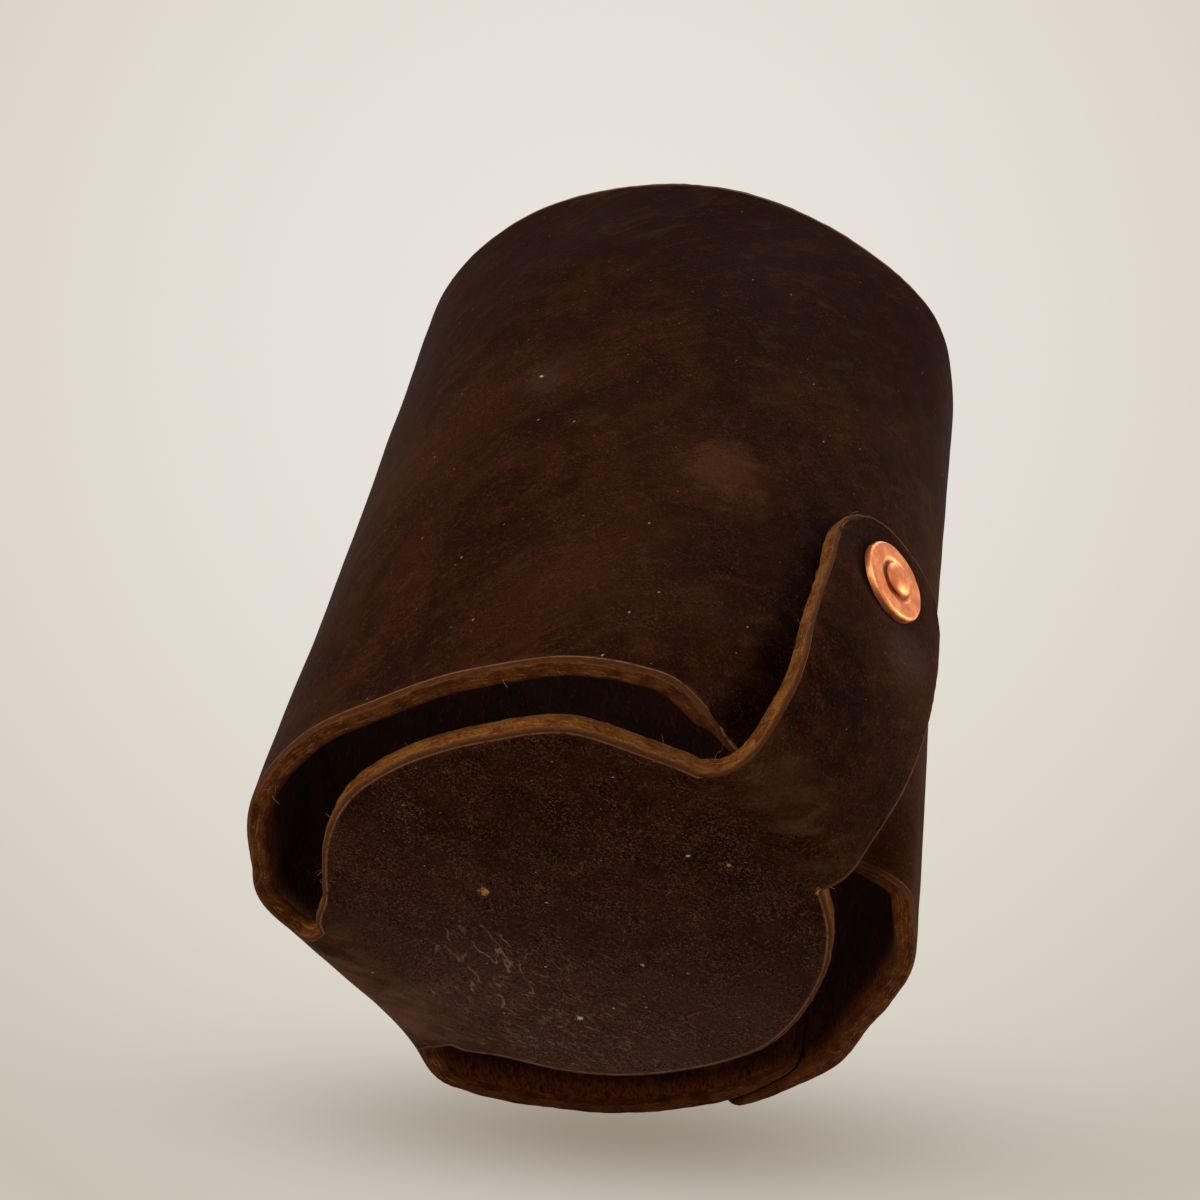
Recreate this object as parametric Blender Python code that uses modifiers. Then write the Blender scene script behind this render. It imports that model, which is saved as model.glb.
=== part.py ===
# Leather can cooler: one cut piece of thick leather, closed by copper rivets and burrs.
#
# The leather is a rectangle that wraps round a drinks can and laps over itself at the seam,
# where its two ends are pared down.
# A short neck joins its lower edge to a round base, and a strap runs on from the far side
# of the base, bends up outside the sleeve and is riveted there. The taut strap presses the
# sleeve's lower edge in under it.
#
# Frame: metres, +Z up along the can's axis, origin at the centre of the base's underside.
# The strap is at -Y, the neck at +Y and the lapped seam at +X.

import math

import bmesh
import bpy
from mathutils import Matrix, Vector

MM = 0.001
HALF = 0.5
QUARTER_TURN = math.pi / 2.0
FULL_TURN = 2.0 * math.pi

# The can that the sleeve is cut for, and the leather
CAN_DIAMETER = 66.2 * MM
CAN_CLEARANCE = 0.5 * MM
LEATHER = 2.4 * MM
LAYER_GAP = 0.3 * MM

# Azimuths in degrees, counted from +X towards +Y
SEAM_AZIMUTH = 0.0
NECK_AZIMUTH = 90.0
STRAP_AZIMUTH = 270.0

# Sleeve
SLEEVE_HEIGHT = 88.6 * MM
EDGE_HEIGHT = 1.6 * MM
OVERLAP = 12.0 * MM
STEP_RAMP = 9.0 * MM
SKIVED_END = 1.0 * MM
CORNER_RADIUS = 2.0 * MM

# Soft waves of the sleeve's free edges: azimuth and half width in degrees, depth in metres
BOTTOM_WAVES = (
    (221.0, 19.0, 1.7 * MM),
    (182.0, 13.0, -1.3 * MM),
    (143.0, 16.0, 0.9 * MM),
    (60.0, 13.0, 2.6 * MM),
    (37.0, 21.0, 1.6 * MM),
    (312.0, 11.0, 0.9 * MM),
)
BOTTOM_WAVE_HEIGHT = 26.0 * MM
TOP_WAVES = (
    (277.0, 15.0, 1.3 * MM),
    (200.0, 35.0, -0.45 * MM),
)
TOP_WAVE_HEIGHT = 14.0 * MM

# Round base, cut smaller than the sleeve's inside all round, and by hand
BASE_INSET = 5.7 * MM
BASE_WAVES = (
    (216.0, 11.0, 1.2 * MM),
    (348.0, 14.0, 0.6 * MM),
)

# Neck between the base and the sleeve, and how it flattens the sleeve above it
NECK_WIDTH = 23.0 * MM
NECK_WAIST = 0.6 * MM
NECK_MARGIN = 0.2 * MM
NECK_BEND = 4.3 * MM
NECK_FADE = 12.0 * MM
NECK_SEAM_FADE = 8.0 * MM
NECK_FLAT_LOW = 6.0 * MM
NECK_FLAT_HIGH = 16.0 * MM

# Strap's route: a bend, a slanting run, then a wide bend that lays it on the sleeve
STRAP_WIDTH = 21.2 * MM
STRAP_TOP = 40.4 * MM
STRAP_FOLD_INSET = 0.8 * MM
STRAP_BEND = 4.0 * MM
STRAP_SLANT = 6.5 * MM
STRAP_LAY = 22.0 * MM
STRAP_FLAT_HIGH = 18.0 * MM
STRAP_TWIST = 0.9 * MM
TWIST_HEIGHT = 9.0 * MM
TWIST_SPREAD = 8.0 * MM

# Strap's outline: a fillet at the base on its left, a sharp corner on its right, a waist,
# a slight lean to the right, and a rounded end
STRAP_LEFT_CORNER = 9.0 * MM
STRAP_RIGHT_CORNER = 6.5 * MM
FILLET_WIDTH = 5.0 * MM
FILLET_START = -5.0 * MM
FILLET_LENGTH = 8.0 * MM
FILLET_POWER = 3
WAIST_DEPTH = 0.9 * MM
WAIST_CENTRE = 2.0 * MM
WAIST_LENGTH = 10.0 * MM
LEAN_LOW = -0.8 * MM
LEAN_HIGH = 0.9 * MM
LEAN_START = 18.0 * MM
LEAN_LENGTH = 16.0 * MM

# How the strap's pressure fades out beside it, and lifts the sleeve's edge
PINCH_MARGIN = 1.2 * MM
PINCH_FADE = 6.0 * MM
PINCH_LIFT = 2.0 * MM
LIFT_FADE = 12.0 * MM
LIFT_HEIGHT = 16.0 * MM

# Copper rivets and burrs
SHANK_DIAMETER = 2.8 * MM
HEAD_DIAMETER = 9.5 * MM
HEAD_THICKNESS = 0.8 * MM
HEAD_ROUNDING = 0.35 * MM
HEAD_SINK = 0.35 * MM
BURR_DIAMETER = 9.5 * MM
BURR_THICKNESS = 1.0 * MM
BURR_ROUNDING = 0.4 * MM
BURR_SINK = 0.3 * MM
DISH_DEPTH = 0.3 * MM
DISH_MARGIN = 0.5 * MM
DISH_RAMP = 0.6 * MM
DOME_DIAMETER = 4.6 * MM
DOME_HEIGHT = 1.0 * MM
METAL_GAP = 0.25 * MM
STRAP_RIVET_AZIMUTH = 268.9
STRAP_RIVET_HEIGHT = 32.2 * MM
SEAM_RIVETS = 3
SEAM_RIVET_MARGIN = 14.0 * MM

# Fineness of the meshes
COLUMN_STEP = 3.2 * MM
PINCH_COLUMN_STEP = 2.0 * MM
BEND_STEP = 1.3 * MM
LOW_STEP = 2.4 * MM
WALL_STEP = 9.0 * MM
TOP_STEP = 4.5 * MM
STRAP_STEP = 3.2 * MM
BAND_COLUMNS = 5
ROOT_ROWS = 3
NECK_ROWS = 4
END_ROWS = 3
CORNER_SPLIT = 0.3
TURN_STEPS = 24
DOME_STEPS = 5
SOLVE_STEPS = 40
CUTTER_TWIST = math.radians(5.0)
CUTTER_REACH = 7.0 * MM
MERGE_DISTANCE = 0.01 * MM
FLAT_LIMIT = 0.0001

# Colours (linear), roughness, and the angles in degrees above which shading turns sharp
LEATHER_COLOUR = (0.05, 0.03, 0.022)
LEATHER_ROUGHNESS = 0.6
LEATHER_SHARP = 40.0
COPPER_COLOUR = (0.83, 0.40, 0.23)
COPPER_ROUGHNESS = 0.28
COPPER_SHARP = 35.0

# Radii and heights that follow from the sizes above
INNER_RADIUS = CAN_DIAMETER * HALF + CAN_CLEARANCE
MID_RADIUS = INNER_RADIUS + LEATHER * HALF
LAYER_STEP = LEATHER + LAYER_GAP
SLEEVE_TOP = EDGE_HEIGHT + SLEEVE_HEIGHT
SLEEVE_START = math.radians(SEAM_AZIMUTH) - OVERLAP * HALF / MID_RADIUS
SLEEVE_TURN = FULL_TURN + OVERLAP / MID_RADIUS
BASE_RADIUS = INNER_RADIUS - BASE_INSET
BASE_MID = LEATHER * HALF
NECK_FOLD = BASE_RADIUS + NECK_MARGIN
NECK_REACH = NECK_FOLD + NECK_BEND
NECK_TOP = BASE_MID + NECK_BEND
STRAP_FOLD = BASE_RADIUS - STRAP_FOLD_INSET
STRAP_MID = MID_RADIUS + LAYER_STEP
SEAM_FACE = INNER_RADIUS + SKIVED_END + LAYER_GAP + LEATHER


def smooth(value, start, end):
    """A soft step from 0 at start to 1 at end."""
    share = min(1.0, max(0.0, (value - start) / (end - start)))
    return share * share * (3.0 - 2.0 * share)


def hump(value, centre, spread):
    """A soft hump of height 1 at centre."""
    away = (value - centre) / spread
    return math.exp(-away * away)


def mix(first, second, share):
    return first + (second - first) * share


def halve(is_low, low, high):
    """The place between low and high where is_low turns false."""
    for _ in range(SOLVE_STEPS):
        middle = (low + high) * HALF
        if is_low(middle):
            low = middle
        else:
            high = middle
    return (low + high) * HALF


def spaced(start, end, step):
    """Evenly spaced values after start, up to and including end."""
    count = max(1, round((end - start) / step))
    return [mix(start, end, index / count) for index in range(1, count + 1)]


def wrap_angle(angle):
    """The same angle between minus and plus half a turn, in radians."""
    return (angle + math.pi) % FULL_TURN - math.pi


def wave_sum(waves, azimuth):
    """How far the soft waves push the sleeve out at an azimuth."""
    total = 0.0
    for centre, width, depth in waves:
        away = wrap_angle(azimuth - math.radians(centre))
        total += depth * hump(away, 0.0, math.radians(width))
    return total


def frame_at(azimuth):
    """Unit vectors pointing out and sideways at an azimuth."""
    out = Vector((math.cos(azimuth), math.sin(azimuth), 0.0))
    side = Vector((-math.sin(azimuth), math.cos(azimuth), 0.0))
    return out, side


def bent(across, radius, roundness):
    """Place a point across a band that is bent: sideways, and sagging in from its middle.

    Roundness 1 bends the band to the radius and 0 leaves it flat.
    """
    if roundness < FLAT_LIMIT:
        return across, 0.0
    bend_radius = radius / roundness
    angle = across / bend_radius
    return bend_radius * math.sin(angle), bend_radius * (1.0 - math.cos(angle))


# The strap: its route in the plane through the axis, and its outline along that route

def strap_slope():
    """The angle of the strap's slanting run that brings it out to its place on the sleeve."""
    def reaches_past(angle):
        reach = STRAP_BEND * math.sin(angle)
        reach += STRAP_SLANT * math.cos(angle)
        reach += STRAP_LAY * (1.0 - math.sin(angle))
        return reach > STRAP_MID - STRAP_FOLD

    return halve(reaches_past, 0.0, QUARTER_TURN)


STRAP_SLOPE = strap_slope()
BEND_END = STRAP_BEND * STRAP_SLOPE
LAY_START = BEND_END + STRAP_SLANT
LAY_END = LAY_START + STRAP_LAY * (QUARTER_TURN - STRAP_SLOPE)
BEND_RISE = STRAP_BEND * (1.0 - math.cos(STRAP_SLOPE))
SLANT_RISE = STRAP_SLANT * math.sin(STRAP_SLOPE)
LAY_RISE = STRAP_LAY * math.cos(STRAP_SLOPE)
UPRIGHT_HEIGHT = BASE_MID + BEND_RISE + SLANT_RISE + LAY_RISE
STRAP_LENGTH = LAY_END + STRAP_TOP - UPRIGHT_HEIGHT


def strap_route(length):
    """Reach, height and slope of the strap's middle, by the length past its fold."""
    if length <= 0.0:
        return STRAP_FOLD + length, BASE_MID, 0.0
    angle = min(length, BEND_END) / STRAP_BEND
    reach = STRAP_FOLD + STRAP_BEND * math.sin(angle)
    height = BASE_MID + STRAP_BEND * (1.0 - math.cos(angle))
    slant = min(max(length - BEND_END, 0.0), STRAP_SLANT)
    reach += slant * math.cos(STRAP_SLOPE)
    height += slant * math.sin(STRAP_SLOPE)
    angle += min(max(length - LAY_START, 0.0), LAY_END - LAY_START) / STRAP_LAY
    if length > LAY_START:
        reach += STRAP_LAY * (math.sin(angle) - math.sin(STRAP_SLOPE))
        height += STRAP_LAY * (math.cos(STRAP_SLOPE) - math.cos(angle))
    height += max(0.0, length - LAY_END)
    return reach, height, angle


def strap_roundness(height):
    """The strap is flat at the base and bent round the sleeve further up."""
    return smooth(height, BASE_MID, STRAP_FLAT_HIGH)


def strap_twist(across, height):
    """The strap's left side stands out a little more than its right side."""
    share = min(1.0, max(-1.0, across / (STRAP_WIDTH * HALF)))
    return -share * STRAP_TWIST * hump(height, TWIST_HEIGHT, TWIST_SPREAD)


def strap_point(across, length):
    """The strap's middle surface."""
    out, side = frame_at(math.radians(STRAP_AZIMUTH))
    reach, height, _ = strap_route(length)
    sideways, sag = bent(across, STRAP_MID, strap_roundness(height))
    if length > 0.0:
        reach += strap_twist(across, height) * smooth(length, 0.0, BEND_END)
    return out * (reach - sag) + side * sideways + Vector((0.0, 0.0, height))


def reach_under_strap(height):
    """How far out the sleeve's middle may lie under the strap's middle at a height."""
    def lies_below(length):
        _, middle_height, slope = strap_route(length)
        return middle_height + LAYER_STEP * math.cos(slope) < height

    reach, _, slope = strap_route(halve(lies_below, 0.0, STRAP_LENGTH))
    return reach - LAYER_STEP * math.sin(slope)


def strap_edge(share, length):
    """Half the strap's width on the side that share points to, by the length past its fold."""
    half_width = STRAP_WIDTH * HALF - WAIST_DEPTH * hump(length, WAIST_CENTRE, WAIST_LENGTH)
    if share < 0.0:
        faded = min(1.0, max(0.0, (length - FILLET_START) / FILLET_LENGTH))
        half_width += FILLET_WIDTH * (1.0 - faded) ** FILLET_POWER
    return half_width


def strap_across(share, length):
    """How far sideways a column of the strap lies, as the strap leans a little to its right."""
    lean_share = smooth(length, LEAN_START, LEAN_START + LEAN_LENGTH)
    return share * strap_edge(share, length) + mix(LEAN_LOW, LEAN_HIGH, lean_share)


def strap_root(share):
    """The length where a column of the strap starts: on the base's rim, or at the fold."""
    def inside_rim(length):
        return math.hypot(strap_across(share, length), STRAP_FOLD + length) < BASE_RADIUS

    return min(0.0, halve(inside_rim, -BASE_RADIUS, BASE_RADIUS))


def strap_end(across):
    """The length at which the rounded strap ends."""
    corner = STRAP_LEFT_CORNER if across < 0.0 else STRAP_RIGHT_CORNER
    past = abs(across) - (STRAP_WIDTH * HALF - corner)
    if past <= 0.0:
        return STRAP_LENGTH
    return STRAP_LENGTH - corner + math.sqrt(max(0.0, corner ** 2 - past ** 2))


# The sleeve's middle surface

def thickness(turn):
    """The sleeve's thickness: it is pared down towards its two ends, where they lap."""
    away = min(turn, SLEEVE_TURN - turn) * MID_RADIUS
    return mix(SKIVED_END, LEATHER, min(1.0, max(0.0, away / OVERLAP)))


def seam_step(turn):
    """How far the outer layer's inner face stands out to clear the layer under it."""
    ramp_end = FULL_TURN - LEATHER / MID_RADIUS
    step = (SKIVED_END + LAYER_GAP) * smooth(turn, ramp_end - STEP_RAMP / MID_RADIUS, ramp_end)
    if turn > FULL_TURN:
        step += thickness(turn - FULL_TURN) - SKIVED_END
    return step


def sleeve_radius(turn, rise):
    """Radius of the sleeve's middle before the strap and the neck shape it."""
    azimuth = SLEEVE_START + turn
    below_top = SLEEVE_HEIGHT - rise
    radius = INNER_RADIUS + seam_step(turn) + thickness(turn) * HALF
    radius += wave_sum(BOTTOM_WAVES, azimuth) * hump(rise + EDGE_HEIGHT, 0.0, BOTTOM_WAVE_HEIGHT)
    radius += wave_sum(TOP_WAVES, azimuth) * hump(below_top, 0.0, TOP_WAVE_HEIGHT)
    return radius


def band_point(azimuth, across, radius, height, reach, roundness):
    """A point of the sleeve where a band flattens it and sets how far out its middle lies."""
    out, side = frame_at(math.radians(azimuth))
    sideways, sag = bent(across * radius / MID_RADIUS, radius, roundness)
    return out * (reach - sag) + side * sideways + Vector((0.0, 0.0, height))


def pinched_point(across, radius, rise):
    """The sleeve under and beside the strap."""
    fade_start = STRAP_WIDTH * HALF + PINCH_MARGIN
    share = 1.0 - smooth(abs(across), fade_start, fade_start + PINCH_FADE)
    lift_share = 1.0 - smooth(abs(across), fade_start, fade_start + LIFT_FADE)
    lift = PINCH_LIFT * lift_share * max(0.0, 1.0 - rise / LIFT_HEIGHT) ** 2
    height = EDGE_HEIGHT + rise + lift
    pull = 0.0
    if height < UPRIGHT_HEIGHT:
        room = reach_under_strap(height) + strap_twist(across, height)
        pull = max(0.0, radius - room) * share
    roundness = mix(1.0, strap_roundness(height), share)
    return band_point(STRAP_AZIMUTH, across, radius, height, radius - pull, roundness)


def necked_point(across, radius, rise):
    """The sleeve above and beside the neck, where its lower edge curls in to the base."""
    fade = NECK_FADE if across > 0.0 else NECK_SEAM_FADE
    share = 1.0 - smooth(abs(across), NECK_WIDTH * HALF, NECK_WIDTH * HALF + fade)
    height = EDGE_HEIGHT + rise
    flatness = share * (1.0 - smooth(height, NECK_FLAT_LOW, NECK_FLAT_HIGH))
    reach = radius - (MID_RADIUS - NECK_REACH) * flatness
    point = band_point(NECK_AZIMUTH, across, radius, height, reach, 1.0 - flatness)
    below_top = NECK_TOP - height
    if below_top > 0.0:
        angle = below_top / NECK_BEND
        out, _ = frame_at(math.radians(NECK_AZIMUTH))
        point -= out * (NECK_BEND * (1.0 - math.cos(angle)) * share)
        point.z = NECK_TOP - mix(below_top, NECK_BEND * math.sin(angle), share)
    return point


def sleeve_point(turn, rise):
    """The sleeve's middle surface, by the angle from its inner end and the rise from its edge."""
    azimuth = SLEEVE_START + turn
    radius = sleeve_radius(turn, rise)
    to_strap = wrap_angle(azimuth - math.radians(STRAP_AZIMUTH)) * MID_RADIUS
    to_neck = wrap_angle(azimuth - math.radians(NECK_AZIMUTH)) * MID_RADIUS
    if abs(to_strap) < STRAP_WIDTH * HALF + PINCH_MARGIN + LIFT_FADE:
        return pinched_point(to_strap, radius, rise)
    if abs(to_neck) < NECK_WIDTH * HALF + NECK_FADE:
        return necked_point(to_neck, radius, rise)
    out, _ = frame_at(azimuth)
    return out * radius + Vector((0.0, 0.0, EDGE_HEIGHT + rise))


def neck_point(across, along):
    """The neck's middle surface, by the leather's length past the sleeve's lower edge."""
    out, side = frame_at(math.radians(NECK_AZIMUTH))
    bend_length = NECK_TOP - EDGE_HEIGHT + along
    angle = min(bend_length / NECK_BEND, QUARTER_TURN)
    flat = max(0.0, bend_length - QUARTER_TURN * NECK_BEND)
    reach = NECK_REACH - NECK_BEND * (1.0 - math.cos(angle)) - flat
    height = NECK_TOP - NECK_BEND * math.sin(angle)
    return out * reach + side * across + Vector((0.0, 0.0, height))


# The sheet of leather, built as one open surface

def band_shares():
    """Places across a band from -1 to 1, closer together towards its edges."""
    steps = range(-BAND_COLUMNS, BAND_COLUMNS + 1)
    return [math.sin(QUARTER_TURN * index / BAND_COLUMNS) for index in steps]


def sleeve_turns():
    """Columns of the sleeve as angles from its inner end, and the number of the neck's first."""
    step = COLUMN_STEP / MID_RADIUS
    corner = CORNER_RADIUS / MID_RADIUS
    neck_turn = math.radians(NECK_AZIMUTH) - SLEEVE_START
    neck = [neck_turn + share * NECK_WIDTH * HALF / MID_RADIUS for share in band_shares()]
    pinch_turn = math.radians(STRAP_AZIMUTH) - SLEEVE_START
    pinch_reach = (STRAP_WIDTH * HALF + PINCH_MARGIN + PINCH_FADE) / MID_RADIUS
    turns = [0.0, CORNER_SPLIT * corner, corner]
    turns += spaced(corner, neck[0], step)
    neck_column = len(turns) - 1
    turns += neck[1:]
    turns += spaced(neck[-1], pinch_turn - pinch_reach, step)
    turns += spaced(pinch_turn - pinch_reach, pinch_turn + pinch_reach, PINCH_COLUMN_STEP / MID_RADIUS)
    turns += spaced(pinch_turn + pinch_reach, SLEEVE_TURN - corner, step)
    turns += [SLEEVE_TURN - CORNER_SPLIT * corner, SLEEVE_TURN]
    return turns, neck_column


def sleeve_rises():
    """Rows of the sleeve above its lower edge, closer together where it bends."""
    bend_top = NECK_TOP - EDGE_HEIGHT
    shaped_top = max(NECK_FLAT_HIGH, STRAP_FLAT_HIGH)
    wave_start = SLEEVE_HEIGHT - TOP_WAVE_HEIGHT
    rows = [0.0]
    rows += spaced(0.0, bend_top, BEND_STEP)
    rows += spaced(bend_top, shaped_top, LOW_STEP)
    rows += spaced(shaped_top, wave_start, WALL_STEP)
    rows += spaced(wave_start, SLEEVE_HEIGHT, TOP_STEP)
    return rows


def corner_inset(turn):
    """How far the rounded corners cut into the sleeve's height at its two ends."""
    away = min(turn, SLEEVE_TURN - turn) * MID_RADIUS
    if away >= CORNER_RADIUS:
        return 0.0
    return CORNER_RADIUS - math.sqrt(CORNER_RADIUS ** 2 - (CORNER_RADIUS - away) ** 2)


def join_rows(bm, first, second):
    """Quads between two rows of vertices."""
    for near in range(len(first) - 1):
        bm.faces.new((first[near], second[near], second[near + 1], first[near + 1]))


def add_sleeve(bm, thinned):
    """The wrapped rectangle. Returns the vertices along the neck's top.

    It notes in thinned how full the leather's thickness is, where it is pared down.
    """
    turns, neck_column = sleeve_turns()
    rises = sleeve_rises()
    columns = []
    for turn in turns:
        inset = corner_inset(turn)
        fullness = (thickness(turn) - SKIVED_END) / (LEATHER - SKIVED_END)
        column = []
        for rise in rises:
            inner_rise = mix(inset, SLEEVE_HEIGHT - inset, rise / SLEEVE_HEIGHT)
            if fullness < 1.0:
                thinned[len(bm.verts)] = fullness
            column.append(bm.verts.new(sleeve_point(turn, inner_rise)))
        columns.append(column)
    for first, second in zip(columns, columns[1:]):
        join_rows(bm, first, second)
    return [columns[neck_column + index][0] for index in range(len(band_shares()))]


def add_neck(bm, row):
    """The neck, from the sleeve's lower edge to the base. Returns its row on the base's rim."""
    curl_length = QUARTER_TURN * NECK_BEND - (NECK_TOP - EDGE_HEIGHT)
    for index in range(1, NECK_ROWS + 1):
        part = index / NECK_ROWS
        half_width = (NECK_WIDTH - NECK_WAIST * math.sin(math.pi * part)) * HALF
        next_row = []
        for share in band_shares():
            rim_reach = math.sqrt(BASE_RADIUS ** 2 - (share * NECK_WIDTH * HALF) ** 2)
            along = part * (curl_length + NECK_FOLD - rim_reach)
            next_row.append(bm.verts.new(neck_point(share * half_width, along)))
        join_rows(bm, row, next_row)
        row = next_row
    return row


def strap_lengths():
    """Rows of the strap past its fold, closer together in the bend and at the round end."""
    rows = spaced(0.0, BEND_END, BEND_STEP)
    rows += spaced(BEND_END, LAY_END, STRAP_STEP)
    rows += spaced(LAY_END, STRAP_LENGTH - STRAP_LEFT_CORNER, STRAP_STEP)
    rows += spaced(STRAP_LENGTH - STRAP_LEFT_CORNER, STRAP_LENGTH, STRAP_LEFT_CORNER / END_ROWS)
    return rows


def add_strap(bm):
    """The strap, from the base's rim up to its rounded end. Returns its row on the rim."""
    shares = band_shares()
    roots = [strap_root(share) for share in shares]
    first, *further = strap_lengths()
    length_rows = []
    for index in range(ROOT_ROWS + 1):
        length_rows.append([mix(root, first, index / ROOT_ROWS) for root in roots])
    for length in further:
        end_share = smooth(length, LAY_END, STRAP_LENGTH)
        overs = [STRAP_LENGTH - strap_end(share * STRAP_WIDTH * HALF) for share in shares]
        length_rows.append([length - over * end_share for over in overs])

    rows = []
    for lengths in length_rows:
        row = []
        for share, length in zip(shares, lengths):
            row.append(bm.verts.new(strap_point(strap_across(share, length), length)))
        rows.append(row)
    for lower, upper in zip(rows, rows[1:]):
        join_rows(bm, upper, lower)
    return rows[0]


def add_base(bm, neck_row, strap_row):
    """The round base, as a fan that shares the neck's and the strap's vertices on its rim."""
    def rim_angle(vertex):
        return math.atan2(vertex.co.y, vertex.co.x)

    rim = []
    for row, following in ((neck_row, strap_row), (strap_row, neck_row)):
        rim += row
        start = rim_angle(row[-1])
        span = (rim_angle(following[0]) - start) % FULL_TURN
        for angle in spaced(start, start + span, COLUMN_STEP / BASE_RADIUS)[:-1]:
            radius = BASE_RADIUS + wave_sum(BASE_WAVES, angle)
            rim.append(bm.verts.new((radius * math.cos(angle), radius * math.sin(angle), BASE_MID)))
    centre = bm.verts.new((0.0, 0.0, BASE_MID))
    for here, there in zip(rim, rim[1:] + rim[:1]):
        bm.faces.new((there, here, centre))


def build_leather(collection):
    """The whole cut piece, folded into shape and given its thickness."""
    bm = bmesh.new()
    thinned = {}
    neck_row = add_neck(bm, add_sleeve(bm, thinned))
    strap_row = add_strap(bm)
    add_base(bm, neck_row, strap_row)
    bmesh.ops.recalc_face_normals(bm, faces=bm.faces)
    mesh = bpy.data.meshes.new("leather_body")
    bm.to_mesh(mesh)
    bm.free()
    leather = bpy.data.objects.new("leather_body", mesh)
    collection.objects.link(leather)
    full = leather.vertex_groups.new(name="Full thickness")
    for index in range(len(mesh.vertices)):
        full.add([index], thinned.get(index, 1.0), "REPLACE")
    thicken = leather.modifiers.new("Leather thickness", "SOLIDIFY")
    thicken.thickness = LEATHER
    thicken.offset = 0.0
    thicken.vertex_group = full.name
    thicken.thickness_vertex_group = SKIVED_END / LEATHER
    return leather


# Turned copper pieces: profiles of radius and height, from the axis round to the axis

def rivet_profile(burr_face):
    """A rivet whose flat head lies below zero and whose dome lies on the burr's dished face."""
    head = HEAD_DIAMETER * HALF
    shank = SHANK_DIAMETER * HALF
    dome = DOME_DIAMETER * HALF
    seat = burr_face + METAL_GAP
    points = [(0.0, seat + DOME_HEIGHT)]
    for index in range(1, DOME_STEPS):
        angle = QUARTER_TURN * index / DOME_STEPS
        points.append((dome * math.sin(angle), seat + DOME_HEIGHT * math.cos(angle)))
    points += [
        (dome, seat),
        (shank, seat),
        (shank, 0.0),
        (head - HEAD_ROUNDING, 0.0),
        (head, -HEAD_ROUNDING),
        (head, HEAD_ROUNDING - HEAD_THICKNESS),
        (head - HEAD_ROUNDING, -HEAD_THICKNESS),
        (0.0, -HEAD_THICKNESS),
    ]
    return points


def burr_profile():
    """A washer with a rounded outer edge and a shallow dish round its hole, as a closed loop."""
    outer = BURR_DIAMETER * HALF
    hole = SHANK_DIAMETER * HALF + METAL_GAP
    dish = DOME_DIAMETER * HALF + DISH_MARGIN
    return [
        (hole, BURR_THICKNESS - DISH_DEPTH),
        (dish, BURR_THICKNESS - DISH_DEPTH),
        (dish + DISH_RAMP, BURR_THICKNESS),
        (outer - BURR_ROUNDING, BURR_THICKNESS),
        (outer, BURR_THICKNESS - BURR_ROUNDING),
        (outer, 0.0),
        (hole, 0.0),
        (hole, BURR_THICKNESS - DISH_DEPTH),
    ]


def seat_profile(head_floor, burr_floor):
    """The space that one rivet needs in the leather: head seat, hole and burr seat in one."""
    hole = SHANK_DIAMETER * HALF + METAL_GAP
    head = HEAD_DIAMETER * HALF + METAL_GAP
    burr = BURR_DIAMETER * HALF + METAL_GAP
    return [
        (0.0, burr_floor + CUTTER_REACH),
        (burr, burr_floor + CUTTER_REACH),
        (burr, burr_floor),
        (hole, burr_floor),
        (hole, head_floor),
        (head, head_floor),
        (head, head_floor - CUTTER_REACH),
        (0.0, head_floor - CUTTER_REACH),
    ]


def turned_object(name, points, collection):
    """A profile in the XZ plane swept once round Z."""
    closed = points[0] == points[-1]
    places = points[:-1] if closed else points
    bm = bmesh.new()
    verts = [bm.verts.new((radius, 0.0, height)) for radius, height in places]
    for first, second in zip(verts, verts[1:]):
        bm.edges.new((first, second))
    if closed:
        bm.edges.new((verts[-1], verts[0]))
    mesh = bpy.data.meshes.new(name)
    bm.to_mesh(mesh)
    bm.free()
    turned = bpy.data.objects.new(name, mesh)
    collection.objects.link(turned)
    screw = turned.modifiers.new("Turn", "SCREW")
    screw.axis = "Z"
    screw.angle = FULL_TURN
    screw.steps = TURN_STEPS
    screw.render_steps = TURN_STEPS
    screw.use_merge_vertices = True
    screw.merge_threshold = MERGE_DISTANCE
    return turned


def radial_matrix(azimuth, reach, height):
    """Places a turned piece with its own +Z pointing out from the can's axis."""
    out, side = frame_at(math.radians(azimuth))
    up = Vector((0.0, 0.0, 1.0))
    turn = Matrix((-up, side, out)).transposed()
    return Matrix.Translation(out * reach + up * height) @ turn.to_4x4()


def cut(target, cutter):
    boolean = target.modifiers.new("Cut " + cutter.name, "BOOLEAN")
    boolean.operation = "DIFFERENCE"
    boolean.solver = "EXACT"
    boolean.object = cutter


def add_rivet(label, azimuth, height, outer_face, leather, parts, cutters):
    """One rivet and its burr, with the seat that they press into the leather."""
    head_reach = INNER_RADIUS + HEAD_SINK
    burr_reach = outer_face - BURR_SINK
    burr_face = burr_reach + BURR_THICKNESS - DISH_DEPTH

    rivet = turned_object(label + "_rivet", rivet_profile(burr_face - head_reach), parts)
    rivet.matrix_world = radial_matrix(azimuth, head_reach, height)
    burr = turned_object(label + "_burr", burr_profile(), parts)
    burr.matrix_world = radial_matrix(azimuth, burr_reach, height)

    profile = seat_profile(METAL_GAP, burr_reach - METAL_GAP - head_reach)
    seat = turned_object(label + "_seat", profile, cutters)
    twist = Matrix.Rotation(CUTTER_TWIST, 4, "Z")
    seat.matrix_world = radial_matrix(azimuth, head_reach, height) @ twist
    seat.hide_render = True
    seat.display_type = "WIRE"
    cut(leather, seat)
    return rivet, burr


# Materials and shading

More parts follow.
